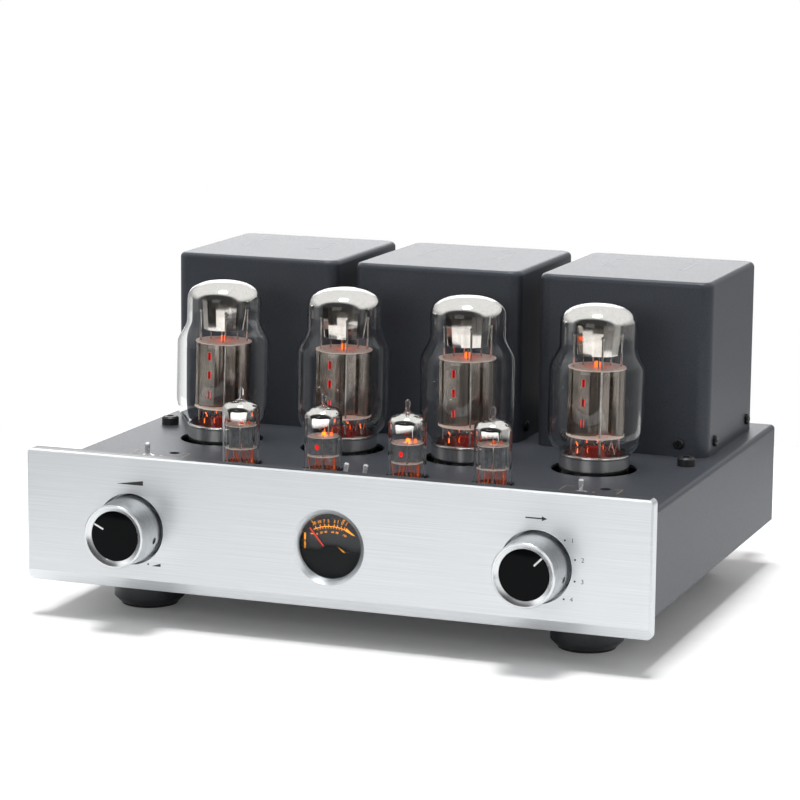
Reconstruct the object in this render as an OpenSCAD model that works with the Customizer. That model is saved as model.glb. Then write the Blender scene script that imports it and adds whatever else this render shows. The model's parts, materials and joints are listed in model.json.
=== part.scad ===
// Stereo integrated amplifier with vacuum tubes, as an assembly of separate pieces.
// Millimetres, +Z up. The origin is on the floor under the middle of the footprint, and the front faces -Y.

/* [Case] */
// Width of the folded steel case
case_w = 350; // [342:1:400]
// Depth of the case behind the front panel
case_d = 276; // [266:1:320]
// Height of the case from its lower edge to its top plate
case_h = 58; // [56:1:80]
// Thickness of the sheet steel of the case and its bottom plate
sheet_t = 1.6; // [1.2:0.1:2.2]
// Outside radius of the bends along the upper side edges
bend_r = 2.6; // [2.4:0.1:5]
// Height of the feet from the floor to the case
foot_h = 27; // [20:1:40]
// Diameter of a foot
foot_d = 40.2; // [36:0.2:46]
// Diameter of the rubber pad that a foot stands on
pad_d = 33.4; // [26:0.2:35]
// Distance of each foot's axis from the sides and ends of the case
foot_inset = 45; // [36:1:55]

/* [Front panel] */
// Thickness of the front panel
panel_t = 8; // [7:0.5:14]
// How far the panel reaches past each side of the case
panel_overhang = 5; // [2:0.5:12]
// How far the panel stands above the top plate
panel_rise = 10; // [4:0.5:16]
// How far the panel reaches below the case
panel_drop = 7; // [2:0.5:14]
// Corner radius of the panel
panel_corner_r = 3; // [1:0.5:6]
// Height of the bevel along the panel's lower edge
bevel_h = 6.3; // [3:0.1:9]
// Depth of that bevel
bevel_d = 3.5; // [1.5:0.1:5]
// Chamfer of the panel's other front edges
panel_chamfer = 1; // [0.4:0.1:1.4]
// Height of the knobs and the meter above the panel's lower edge
control_h = 34.3; // [32:0.1:37]

/* [Knobs] */
// Distance of each knob's axis from the end of the panel
knob_in = 63; // [50:0.5:80]
// Diameter of a knob at its front
knob_d = 35; // [30:0.2:38]
// Diameter of a knob at its base
knob_base_d = 37.4; // [35:0.2:39]
// How far a knob stands proud of the panel
knob_proud = 21.5; // [18:0.5:28]
// How far a knob's base sinks into its recess
knob_sink = 3; // [1:0.1:3.5]
// Diameter of the recess round each knob
recess_d = 39.8; // [39.6:0.2:46]
// Depth of that recess
recess_depth = 4.5; // [4:0.1:5]
// Diameter of the black knob face
face_d = 27.7; // [22:0.1:28.4]
// Diameter of the control shafts
shaft_d = 6; // [5:0.1:6.4]
// Radial running clearance of a shaft in its bushing
shaft_play = 0.05; // [0.02:0.01:0.1]
// Angle of the volume pointer from the right, counted towards the top
volume_angle = 154; // [-60:1:240]
// Angle of the selector pointer
selector_angle = 45; // [-45:1:45]

/* [Meter] */
// Clear diameter of the meter window
window_d = 35.7; // [30:0.1:38]
// Depth of the 45 degree flare in front of the window
flare_depth = 3; // [1.5:0.1:3.5]
// Thickness of the meter lens
lens_t = 1.5; // [1:0.1:2]
// Width of the ledge that holds the lens
lens_ledge = 1.6; // [1:0.1:3]
// Depth of the meter housing behind the lens
meter_depth = 22; // [19:0.5:30]
// Distance of the needle's pivot below the window's centre
pivot_drop = 7.4; // [5:0.1:9]
// Length of the needle from its pivot
needle_l = 20.6; // [16:0.1:21]
// Rest angle of the needle, to the left of upright
needle_rest = 40; // [30:1:42]

/* [Transformer covers] */
// Width of a cover
cover_w = 102; // [100:0.5:110]
// Depth of a cover
cover_d = 106; // [102:0.5:116]
// Height of a cover above the top plate
cover_h = 100; // [80:1:130]
// Wall thickness of a cover
cover_wall = 1.5; // [1:0.1:2.5]
// Corner radius of a cover seen from above
cover_corner_r = 7.5; // [5:0.1:12]
// Radius of a cover's upper edge
cover_edge_r = 3; // [2.6:0.1:4.8]
// Distance between the covers' middles
cover_pitch = 113.2; // [113:0.2:118]
// Gap behind the covers to the rear of the case
cover_rear_gap = 12; // [6:0.5:16]
// Height of the cover screws above the top plate
cover_screw_z = 7.5; // [6:0.1:10]
// Distance of the cover screws from the corners
cover_screw_in = 16.3; // [14:0.1:24]

/* [Transformers] */
// Width of an iron core
core_w = 84; // [72:1:88]
// Depth of an iron core
core_d = 70; // [60:1:86]
// Height of the stack of sheets
core_stack = 40; // [30:1:50]
// Width of the core's middle leg
core_leg = 28; // [24:1:32]
// Depth of a core window, along the leg
core_window_l = 42; // [34:1:44]
// Build of the winding on each side of the leg
coil_build = 13; // [8:0.5:13]
// Height of the core above the top plate
core_lift = 16; // [15:0.5:24]

/* [Power tubes] */
// Distance between neighbouring power tubes
power_pitch = 75.3; // [70:0.1:80]
// Shift of their row behind the middle of the space between the small tubes and the covers
power_shift = 0.5; // [-2:0.1:3]
// Diameter of the glass at its widest
power_glass_d = 53.2; // [48:0.1:56]
// Diameter of the glass below the dome
power_dome_d = 42.8; // [38:0.1:46]
// Height of the dome above the top plate
power_top = 93.5; // [88:0.5:104]
// Diameter of the metal base collar
collar_d = 38.6; // [36:0.1:42]
// Height of the collar above the top plate
collar_top = 9.4; // [7:0.1:12]
// Diameter of the hole in the top plate round each tube
power_hole_d = 48; // [46:0.5:54]
// Wall thickness of the glass
glass_t = 1.2; // [0.8:0.1:1.6]

/* [Small tubes] */
// Distance between neighbouring small tubes
small_pitch = 49.5; // [44:0.1:56]
// Distance of their row behind the front of the case
small_row = 46.5; // [46:0.5:52]
// Diameter of the glass
small_d = 21; // [19:0.1:22.2]
// Height of the sealed tip above the top plate
small_top = 43; // [38:0.5:52]
// Diameter of the hole in the top plate round each small tube
small_hole_d = 24; // [23:0.5:28]

/* [Sockets and board] */
// Depth of the socket faces below the top plate
seat_depth = 6.5; // [5:0.1:8]
// Height of the tube sockets
socket_h = 12; // [12:0.5:14]
// Thickness of the circuit board
board_t = 1.6; // [1.2:0.1:2.4]
// Height of the filter capacitors under the board
can_h = 30; // [20:1:32]

/* [Toggles] */
// Distance of the side toggles from the sides of the case
side_toggle_in = 47.7; // [43:0.1:55]
// Distance of the side toggles behind the front of the case
side_toggle_y = 37; // [35:0.5:38]
// Distance between the two middle toggles
mid_toggle_pitch = 11.2; // [10:0.1:14]
// Distance of the middle toggles behind the front of the case
mid_toggle_y = 29; // [28.4:0.2:30]
// Height of a lever's tip above the top plate
lever_top = 8.7; // [7:0.1:12]
// Lean of the middle levers at rest
lever_lean = 10; // [6:0.5:12]
// Shift of each bias trimmer to the right of its toggle
trimmer_dx = 8; // [7:0.5:10]
// Shift of each bias trimmer behind its toggle
trimmer_dy = 19; // [14:0.5:22]

/* [Rear and side] */
// Reach of the speaker posts behind the case
post_reach = 24; // [20:0.5:30]
// Distance between speaker posts
post_pitch = 19; // [18:0.5:24]
// Diameter of the banana bores
banana_d = 4; // [3.9:0.05:4.2]
// Diameter of a line jack's barrel
jack_d = 8.3; // [8:0.1:8.6]
// Distance between line jacks
jack_pitch = 16; // [15:0.5:20]
// Distance of the mains inlet to the right of the middle
inlet_x = 0; // [-10:1:10]
// Distance of the power rocker behind the front of the case
rocker_y = 30; // [24:1:60]
// Tilt of the rocker to each side
rocker_tilt = 10; // [6:0.5:12]

/* [Hidden] */
$fn = 64;
// Small gap between fixed pieces that sit in one another
fit_gap = 0.1;
// Gap that keeps pieces apart where one seats on the other in the same node
touch_gap = 0.03;
// Gap between pieces that move past each other
free_gap = 0.4;
// Overshoot of a cutting shape past the face that it cuts
cut = 1;

panel_w = case_w + 2 * panel_overhang;
knob_x = panel_w / 2 - knob_in;
side_toggle_x = case_w / 2 - side_toggle_in;
panel_h = case_h + panel_rise + panel_drop;
panel_y = knob_proud - (knob_proud + panel_t + case_d + post_reach) / 2;
case_y0 = panel_y + panel_t;
case_y1 = case_y0 + case_d;
case_z0 = foot_h;
case_z1 = foot_h + case_h;
under_z = case_z1 - sheet_t;
panel_z0 = case_z0 - panel_drop;
control_z = panel_z0 + control_h;
wall_y = case_y0 + sheet_t;
rear_y = case_y1 - sheet_t;

bend_in_r = max(bend_r - sheet_t, 0.4);

// Bottom plate, its flanges and screws
plate_recess = 0.4;
plate_z0 = case_z0 + plate_recess;
plate_z1 = plate_z0 + sheet_t;
plate_gap = 0.3;
flange_w = 14;
flange_screw_in = sheet_t + flange_w / 2;
flange_screw_end = 18;
flange_screw_ys = [for (k = [0:2]) case_y0 + flange_screw_end + k * (case_d / 2 - flange_screw_end)];
m3_r = 1.5;
m4_r = 2;
m5_r = 2.5;
thread_gap = 0.05;
screw_gap = 0.25;
pan_head_r = 3.2;
pan_head_h = 2;
slot_w = 3;
slot_l = 40;
slot_pitch = 9;
slot_count = 9;

// Feet
foot_screw_wall = 8;
foot_pad_h = 1.4;
foot_bore_r = 7;
foot_places = [for (sx = [-1, 1], y = [case_y0 + foot_inset, case_y1 - foot_inset])
    [sx * (case_w / 2 - foot_inset), y]];

// Panel screws go through the front wall of the case into blind holes in the panel
panel_screw_in = 20;
panel_screw_bite = 5;
panel_screw_places = [for (sx = [-1, 1], z = [case_z0 + 14, case_z1 - 14])
    [sx * (case_w / 2 - panel_screw_in), z]];

// Controls
bushing_r = shaft_d / 2 + 1.2;
bushing_reach = panel_t - recess_depth + 0.4;
nut_h = 2.2;
nut_r = bushing_r + 2.6;
panel_pass_r = nut_r + 0.8;
shaft_in = 7;
knob_bore = 13;
face_pocket = 2.5;
face_drop = 2;
knob_rim = 0.5;
face_line_in = 6;
face_line_w = 1.1;
face_line_depth = 0.35;
set_screw_r = 1.5;
set_screw_angle = -12;
set_screw_y = 7;
set_screw_l = 5;

// Meter, as depths behind the panel's front face
window_r = window_d / 2;
lens_r = window_r + lens_ledge;
lens_back = flare_depth + lens_t;
housing_r = lens_r - fit_gap;
housing_in_r = window_r;
housing_flange_r = housing_r + 5;
mask_t = 0.8;
mask_depth = lens_back + 1.2;
needle_depth = mask_depth + mask_t + 0.6;
needle_t = 0.5;
needle_w = 0.6;
hub_r = 1.6;
dial_depth = needle_depth + needle_t + 0.8;
dial_t = 0.8;
dial_hole_r = 2.4;
staff_r = 0.6;
staff_l = 7;
movement_r = 8;
movement_l = 9;
mask_top = -3.2;
hump_h = 2.7;
hump_top_w = 8;
hump_low_w = 16;
housing_wall = 1.6;

// Covers
cover_y1 = case_y1 - cover_rear_gap;
cover_y0 = cover_y1 - cover_d;
cover_mid_y = (cover_y0 + cover_y1) / 2;
cover_xs = [for (k = [-1:1]) k * cover_pitch];
bracket_t = 3;
bracket_h = 14;
cover_in = cover_wall + fit_gap;
cover_screw_l = cover_wall + bracket_t - 0.5;

// Transformers
core_z0 = case_z1 + core_lift;
core_yoke = (core_d - core_window_l) / 2;
core_window_w = (core_w - core_leg) / 2 - core_yoke;
core_window_x = (core_leg + core_window_w) / 2;
core_bolt_x = core_w / 2 - core_yoke / 2;
core_bolt_y = core_d / 2 - core_yoke / 2;
coil_gap = 0.3;
coil_in_w = core_leg + 2 * coil_gap;
coil_out_w = core_leg + 2 * min(coil_build, core_window_w - coil_gap);
coil_in_h = core_stack + 2 * coil_gap;
coil_out_h = core_stack + 2 * coil_build;
coil_l = core_window_l - 2 * coil_gap;
bolt_head_h = 3.5;
bolt_head_r = 4.6;
bolt_nut_h = 4;
lead_hole_r = 8;

// Tubes and sockets, with heights counted from the top plate
power_xs = [for (k = [-1.5:1:1.5]) k * power_pitch];
small_xs = [for (k = [-1.5:1:1.5]) k * small_pitch];
small_y = case_y0 + small_row;
power_y = (small_y + small_d / 2 + cover_y0) / 2 + power_shift;
seat_gap = 0.2;
tube_z0 = -seat_depth + seat_gap;
wafer_t = 4;
collar_wall = 1;
collar_in_r = collar_d / 2 - collar_wall;
glass_foot_r = collar_in_r - fit_gap;
glass_z0 = tube_z0 + wafer_t;
stem_t = 2;
bulge_h = 15;
shoulder_drop = 37.5;
shoulder_h = 13.5;
dome_h = 12.5;
power_pin_r = 1.17;
power_pin_l = 11;
power_pin_ring = 8.73;
key_r = 3.95;
pin_gap = 0.35;
power_socket_r = 16.5;
small_pin_r = 0.51;
small_pin_l = 7;
small_pin_ring = 5.95;
small_socket_r = 11;
small_stem_t = 2;
small_glass_t = 0.9;
small_dome_drop = 12.5;
small_dome_h = 4.8;
small_dome_flat = 2.4;
tip_r = [3.4, 1.7, 1.4, 0.4];
tip_drop = [7.6, 6.1, 0.8, 0];
board_z1 = case_z1 - seat_depth - socket_h;
board_z0 = board_z1 - board_t;
board_w = 2 * max(1.5 * power_pitch + power_socket_r + 6, side_toggle_x + trimmer_dx + 9);
board_y0 = small_y - small_socket_r - 4;
board_y1 = power_y + power_socket_r + 6;
standoff_r = 3;
board_screw_l = 7;
standoff_places = [for (x = [-board_w / 2 + 5, 0, board_w / 2 - 5], y = [board_y0 + 4.5, board_y1 - 5])
    [x, y]];

// Parts on the circuit board
can_r = 14;
film_w = 26;
film_d = 9;
film_h = 16;
film_back = 8;
fuse_r = 2.6;
fuse_l = 22;
fuse_front = 12;
fuse_low = 3.3;
clip_w = 4;
clip_d = 8;
clip_h = 6;
trimmer_w = 9.6;
trimmer_h = 10;
rotor_r = 2.4;
rotor_drop = 1.5;
rotor_slot_w = 0.8;
rotor_slot_h = 1;

// Electrodes of a power tube
mica_t = 0.4;
mica_r = 16.2;
mica_low = 18;
mica_high = 58;
anode_w = 25;
anode_d = 15;
anode_t = 0.6;
anode_fin = 3;
rod_r = 0.6;
rod_ring = 13.4;
rod_top = 74;
cathode_r = 1.4;
getter_r = 11.8;
getter_z1 = 80;
electrode_turn = -28;

// Electrodes of a small tube
small_mica_r = 8.6;
small_mica_low = 8.6;
small_mica_high = 22.4;
small_anode_w = 6.6;
small_anode_d = 8.6;
small_anode_x = 3.5;
small_rod_r = 0.4;
small_rod_ring = 7.6;

// Toggles
toggle_bush_r = 3;
toggle_bush_in_r = 2.2;
toggle_bush_h = 1.9;
toggle_nut_h = 1.4;
toggle_nut_r = 4.4;
toggle_body = [9, 6.4, 9];
lever_r = 0.9;
lever_tip_r = 1.5;
ball_r = 1.7;
ball_band = 0.8;
pivot_pin_r = 0.45;
pivot_play = 0.05;
pivot_pin_half = toggle_bush_r - 0.2;
pivot_z = under_z - 0.4;
side_toggles = [for (sx = [-1, 1]) [sx * side_toggle_x, case_y0 + side_toggle_y]];
mid_toggles = [for (sx = [-1, 1]) [sx * mid_toggle_pitch / 2, case_y0 + mid_toggle_y]];
toggle_places = concat(side_toggles, mid_toggles);
trimmer_places = [for (p = side_toggles) [p[0] + trimmer_dx, p[1] + trimmer_dy]];
trimmer_hole_r = 3;

// Cage sockets on the top plate
cage_side_in = 16.6;
cage_cover_gap = 22.6;
cage_x = case_w / 2 - cage_side_in;
cage_y = cover_y0 - cage_cover_gap;
cage_r = 5;
cage_h = 5;
cage_bore_r = 2.1;
cage_spigot_r = 3.6;
cage_spigot_l = 9;

// Rear connectors
rear_mid_z = (case_z0 + case_z1) / 2;
post_group_in = 38;
post_group_x = case_w / 2 - post_group_in;
post_xs = [for (side = [-1, 1], k = [-1:1]) side * post_group_x + k * post_pitch];
post_red = [for (side = [-1, 1], k = [0:1]) side * post_group_x + k * post_pitch];
post_black = [for (side = [-1, 1]) side * post_group_x - post_pitch];
post_stud_r = banana_d / 2 + 1.5;
post_flange_r = 6.8;
post_flange_h = 5;
post_shank_r = 3;
post_shank_l = 12;
post_bore_l = post_reach - post_flange_h - 3;
post_cap_r = 6.6;
jack_group_x = -60;
jack_places = [for (k = [-1:1], row = [-0.5, 0.5])
    [jack_group_x + k * jack_pitch, rear_mid_z + row * jack_pitch]];
jack_reach = 9;
jack_bore_r = 1.7;
jack_flange_r = 6;
jack_flange_h = 2;
jack_shank_r = 3.4;
jack_shank_l = 8;
inlet_flange = [50, 2.5, 24];
inlet_body = [28, 22, 20.6];
inlet_opening = [24.4, 16.4];
inlet_well = 17;
inlet_corner = 4;
inlet_blade = [2, 13, 4];
inlet_screw_x = 20;

// Power rocker on the left side
rocker_frame = [2, 24, 17];
rocker_body = [15, 19.4, 13];
rocker_open = [15.6, 10.4];
rocker_half = 6.9;
rocker_w = 9.8;
rocker_axle_r = 1.2;
rocker_z = rear_mid_z + 4;
rocker_depth = 1;
rocker_x = -case_w / 2 + rocker_depth;
rocker_y0 = case_y0 + rocker_y;
rocker_well = 7.5;
rocker_back = 2.6;

// A quarter of a disc, between the +X and +Y directions
module quarter(r) {
    intersection() {
        circle(r);
        square(r + cut);
    }
}

// Rectangle centred on the origin with four round corners
module round_rect(w, d, r) {
    square([w, d - 2 * r], center = true);
    square([w - 2 * r, d], center = true);
    for (k = [0:3])
        translate([(k == 0 || k == 3 ? 1 : -1) * (w / 2 - r), (k < 2 ? 1 : -1) * (d / 2 - r)])
            rotate(90 * k)
                quarter(r);
}

// Upright rectangle with its two upper corners round, standing on its middle
module arch_rect(w, h, r) {
    translate([-w / 2, 0])
        square([w, h - r]);
    translate([-w / 2 + r, 0])
        square([w - 2 * r, h]);
    for (k = [0:1])
        translate([(k == 0 ? 1 : -1) * (w / 2 - r), h - r])
            rotate(90 * k)
                quarter(r);
}

// Drawing in X and Z, extruded backwards from y by the depth d
module upright(y, d) {
    translate([0, y + d, 0])
        rotate([90, 0, 0])
            linear_extrude(d)
                children();
}

// Round bar along Y from y0 to y1
module bar_y(x, z, r, y0, y1) {
    translate([x, y0, z])
        rotate([-90, 0, 0])
            cylinder(r = r, h = y1 - y0);
}

// Children turned so that their own Z points out of the front panel
module facing_front(x, y, z) {
    translate([x, y, z])
        rotate([90, 0, 0])
            children();
}

// Children turned so that their own Z points out of the rear wall
module facing_rear(x, z) {
    translate([x, case_y1, z])
        rotate([-90, 0, 0])
            children();
}

// Ring turned about Z
module ring(outer, inner, h) {
    difference() {
        cylinder(r = outer, h = h);
        translate([0, 0, -cut])
            cylinder(r = inner, h = h + 2 * cut);
    }
}

// Pan-head screw with a cross recess: the head's top is at +Z and the shank goes down
module pan_screw(shank_r, shank_l) {
    head_r = pan_head_r + shank_r - m3_r;
    difference() {
        union() {
            cylinder(r = head_r, h = pan_head_h * 0.6);
            translate([0, 0, pan_head_h * 0.6])
                cylinder(r1 = head_r, r2 = head_r * 0.7, h = pan_head_h * 0.4);
            translate([0, 0, -shank_l])
                cylinder(r = shank_r, h = shank_l + pan_head_h / 2);
        }
        for (a = [0, 90])
            rotate(a)
                translate([-head_r * 0.55, -0.35, pan_head_h * 0.5])
                    cube([head_r * 1.1, 0.7, pan_head_h]);
    }
}

// Hexagon nut with a round thread hole
module hex_nut(r, hole_r, h) {
    difference() {
        cylinder(r = r, h = h, $fn = 6);
        translate([0, 0, -cut])
            cylinder(r = hole_r, h = h + 2 * cut);
    }
}

// Places of a cover's screws: position, and the turn about Z of a screw that points inwards from the front
function cover_screw_places(x) = concat(
    [for (sx = [-1, 1]) [x + sx * (cover_w / 2 - cover_screw_in), cover_y0, 0]],
    [for (sx = [-1, 1]) [x + sx * (cover_w / 2 - cover_screw_in), cover_y1, 180]],
    [for (y = [cover_y0 + cover_screw_in, cover_y1 - cover_screw_in]) [x + cover_w / 2, y, 90]],
    [for (y = [cover_y0 + cover_screw_in, cover_y1 - cover_screw_in]) [x - cover_w / 2, y, -90]]
);

// Children at each screw of the cover at x, with their own Z pointing out of the cover's face
module at_cover_screws(x) {
    for (p = cover_screw_places(x))
        translate([p[0], p[1], case_z1 + cover_screw_z])
            rotate([90, 0, p[2]])
                children();
}

module case_top_cuts() {
    for (x = power_xs)
        translate([x, power_y, under_z - cut])
            cylinder(d = power_hole_d, h = sheet_t + 2 * cut);
    for (x = small_xs)
        translate([x, small_y, under_z - cut])
            cylinder(d = small_hole_d, h = sheet_t + 2 * cut);
    for (p = toggle_places)
        translate([p[0], p[1], under_z - cut])
            cylinder(r = toggle_bush_r + fit_gap, h = sheet_t + 2 * cut);
    for (p = trimmer_places)
        translate([p[0], p[1], under_z - cut])
            cylinder(r = trimmer_hole_r, h = sheet_t + 2 * cut);
    for (sx = [-1, 1])
        translate([sx * cage_x, cage_y, under_z - cut])
            cylinder(r = cage_spigot_r + fit_gap, h = sheet_t + 2 * cut);
    for (x = cover_xs) {
        for (sx = [-1, 1], sy = [-1, 1])
            translate([x + sx * core_bolt_x, cover_mid_y + sy * core_bolt_y, under_z - cut])
                cylinder(r = m5_r + screw_gap, h = sheet_t + 2 * cut);
        translate([x, cover_mid_y, under_z - cut])
            cylinder(r = lead_hole_r, h = sheet_t + 2 * cut);
    }
}

module case_wall_cuts() {
    for (sx = [-1, 1])
        bar_y(sx * knob_x, control_z, bushing_r + fit_gap, case_y0 - cut, wall_y + cut);
    bar_y(0, control_z, housing_r + fit_gap, case_y0 - cut, wall_y + cut);
    for (p = panel_screw_places)
        bar_y(p[0], p[1], m4_r + screw_gap, case_y0 - cut, wall_y + cut);
    for (x = post_xs)
        bar_y(x, rear_mid_z, post_shank_r + fit_gap, rear_y - cut, case_y1 + cut);
    for (p = jack_places)
        bar_y(p[0], p[1], jack_shank_r + fit_gap, rear_y - cut, case_y1 + cut);
    upright(rear_y - cut, sheet_t + 2 * cut)
        translate([inlet_x, rear_mid_z])
            square([inlet_body[0] + 2 * fit_gap, inlet_body[2] + 2 * fit_gap], center = true);
    for (sx = [-1, 1])
        bar_y(inlet_x + sx * inlet_screw_x, rear_mid_z, m3_r + screw_gap, rear_y - cut, case_y1 + cut);
    translate([-case_w / 2 + sheet_t / 2, rocker_y0, rocker_z])
        cube([sheet_t + 2 * cut, rocker_body[1] + 2 * fit_gap, rocker_body[2] + 2 * fit_gap], center = true);
}

module chassis_case() {
    color("#3a3c40")
        difference() {
            union() {
                difference() {
                    upright(case_y0, case_d)
                        translate([0, case_z0])
                            arch_rect(case_w, case_h, bend_r);
                    upright(wall_y, case_d - 2 * sheet_t)
                        translate([0, case_z0 - cut])
                            arch_rect(case_w - 2 * sheet_t, case_h - sheet_t + cut, bend_in_r);
                }
                for (sx = [-1, 1])
                    translate([sx * (case_w / 2 - sheet_t / 2 - flange_w / 2) - flange_w / 2 - sheet_t / 2,
                               case_y0 + sheet_t / 2, plate_z1])
                        cube([flange_w + sheet_t, case_d - sheet_t, sheet_t]);
            }
            for (sx = [-1, 1], y = flange_screw_ys)
                translate([sx * (case_w / 2 - flange_screw_in), y, plate_z1 - cut])
                    cylinder(r = m3_r + thread_gap, h = sheet_t + 2 * cut);
            case_top_cuts();
            case_wall_cuts();
        }
}

module bottom_plate() {
    plate_w = case_w - 2 * sheet_t - 2 * plate_gap;
    plate_d = case_d - 2 * sheet_t - 2 * plate_gap;
    color("#2c2d30")
        translate([0, (case_y0 + case_y1) / 2, plate_z0])
            difference() {
                translate([-plate_w / 2, -plate_d / 2, 0])
                    cube([plate_w, plate_d, sheet_t]);
                translate([0, -(case_y0 + case_y1) / 2, -cut]) {
                    for (sx = [-1, 1], y = flange_screw_ys)
                        translate([sx * (case_w / 2 - flange_screw_in), y, 0])
                            cylinder(r = m3_r + screw_gap, h = sheet_t + 2 * cut);
                    for (p = foot_places)
                        translate([p[0], p[1], 0])
                            cylinder(r = m5_r + screw_gap, h = sheet_t + 2 * cut);
                    for (k = [0:slot_count - 1])
                        translate([(k - (slot_count - 1) / 2) * slot_pitch, power_y, 0])
                            linear_extrude(sheet_t + 2 * cut)
                                round_rect(slot_w, slot_l, slot_w * 0.49);
                }
            }
}

module front_panel() {
    side = panel_w / 2;
    c = panel_chamfer;
    color("#c9cbcd")
        difference() {
            intersection() {
                upright(panel_y, panel_t)
                    translate([0, panel_z0 + panel_h / 2])
                        round_rect(panel_w, panel_h, panel_corner_r);
                translate([-side - cut, panel_y, panel_z0])
                    rotate([90, 0, 90])
                        linear_extrude(panel_w + 2 * cut)
                            polygon([[0, bevel_h], [bevel_d, 0], [panel_t, 0], [panel_t, panel_h],
                                     [c, panel_h], [0, panel_h - c]]);
                translate([0, panel_y, panel_z0 - cut])
                    linear_extrude(panel_h + 2 * cut)
                        polygon([[c - side, 0], [side - c, 0], [side, c], [side, panel_t],
                                 [-side, panel_t], [-side, c]]);
            }
            for (sx = [-1, 1]) {
                bar_y(sx * knob_x, control_z, recess_d / 2, panel_y - cut, panel_y + recess_depth);
                bar_y(sx * knob_x, control_z, panel_pass_r, panel_y - cut, case_y0 + cut);
            }
            facing_front(0, panel_y, control_z)
                translate([0, 0, -flare_depth])
                    cylinder(r1 = window_r, r2 = window_r + flare_depth + cut, h = flare_depth + cut);
            bar_y(0, control_z, window_r, panel_y + flare_depth - cut / 2, case_y0 + cut);
            bar_y(0, control_z, lens_r, panel_y + flare_depth, case_y0 + cut);
            for (p = panel_screw_places)
                bar_y(p[0], p[1], m4_r + thread_gap, case_y0 - panel_screw_bite, case_y0 + cut);
        }
}

// Section of a cover's wall and the start of its roof, from a corner's axis outwards
module cover_section() {
    inner_edge = max(cover_edge_r - cover_wall, 0.4);
    difference() {
        union() {
            square([cover_corner_r, cover_h - cover_edge_r]);
            square([cover_corner_r - cover_edge_r, cover_h]);
            translate([cover_corner_r - cover_edge_r, cover_h - cover_edge_r])
                quarter(cover_edge_r);
        }
        translate([-cut, -cut]) {
            square([cover_corner_r - cover_wall + cut, cover_h - cover_wall - inner_edge + cut]);
            square([cover_corner_r - cover_wall - inner_edge + cut, cover_h - cover_wall + cut]);
        }
        translate([cover_corner_r - cover_wall - inner_edge, cover_h - cover_wall - inner_edge])
            quarter(inner_edge);
    }
}

// One cover: its wall section is turned round each corner, carried along each side and closed by a roof plate
module transformer_cover(x) {
    run_x = cover_w - 2 * cover_corner_r;
    run_y = cover_d - 2 * cover_corner_r;
    color("#46484c")
        difference() {
            translate([x, cover_mid_y, case_z1]) {
                for (k = [0:3])
                    translate([(k == 0 || k == 3 ? 1 : -1) * run_x / 2, (k < 2 ? 1 : -1) * run_y / 2, 0])
                        rotate(90 * k)
                            rotate_extrude(angle = 90)
                                cover_section();
                for (s = [0, 180])
                    rotate(s) {
                        translate([run_x / 2, run_y / 2, 0])
                            rotate([90, 0, 0])
                                linear_extrude(run_y)
                                    cover_section();
                        translate([-run_x / 2, run_y / 2, 0])
                            rotate([90, 0, 90])
                                linear_extrude(run_x)
                                    cover_section();
                    }
                translate([-run_x / 2, -run_y / 2, cover_h - cover_wall])
                    cube([run_x, run_y, cover_wall]);
            }
            at_cover_screws(x)
                translate([0, 0, -cover_wall - cut])
                    cylinder(r = m3_r + screw_gap, h = cover_wall + 2 * cut);
        }
}

module transformer_cover_left() {
    transformer_cover(cover_xs[0]);
}

module transformer_cover_centre() {
    transformer_cover(cover_xs[1]);
}

module transformer_cover_right() {
    transformer_cover(cover_xs[2]);
}

// Frames on the top plate, just inside the covers, with the threads for the cover screws
module cover_brackets() {
    outer_w = cover_w - 2 * cover_in;
    outer_d = cover_d - 2 * cover_in;
    outer_r = cover_corner_r - cover_wall;
    inner_r = max(outer_r - bracket_t, 0.5);
    color("#8d9094")
        for (x = cover_xs)
            difference() {
                translate([x, cover_mid_y, case_z1])
                    linear_extrude(bracket_h)
                        difference() {
                            round_rect(outer_w, outer_d, outer_r);
                            round_rect(outer_w - 2 * bracket_t, outer_d - 2 * bracket_t, inner_r);
                        }
                at_cover_screws(x)
                    translate([0, 0, -cover_in - bracket_t - cut])
                        cylinder(r = m3_r + thread_gap, h = bracket_t + 2 * cut);
            }
}

module cover_screws() {
    color("#1c1c1e")
        for (x = cover_xs)
            at_cover_screws(x)
                pan_screw(m3_r, cover_screw_l);
}

// Stack of iron sheets lying flat, with two windows beside the middle leg
module transformer_cores() {
    color("#55585c")
        for (x = cover_xs)
            translate([x, cover_mid_y, core_z0])
                difference() {
                    translate([-core_w / 2, -core_d / 2, 0])
                        cube([core_w, core_d, core_stack]);
                    for (sx = [-1, 1])
                        translate([sx * core_window_x - core_window_w / 2, -core_window_l / 2, -cut])
                            cube([core_window_w, core_window_l, core_stack + 2 * cut]);
                    for (sx = [-1, 1], sy = [-1, 1])
                        translate([sx * core_bolt_x, sy * core_bolt_y, -cut])
                            cylinder(r = m5_r + screw_gap, h = core_stack + 2 * cut);
                }
}

// Winding round the middle leg
module transformer_coils() {
    color("#a5632f")
        for (x = cover_xs)
            translate([x, 0, core_z0 + core_stack / 2])
                upright(cover_mid_y - coil_l / 2, coil_l)
                    difference() {
                        round_rect(coil_out_w, coil_out_h, 4);
                        square([coil_in_w, coil_in_h], center = true);
                    }
}

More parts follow.
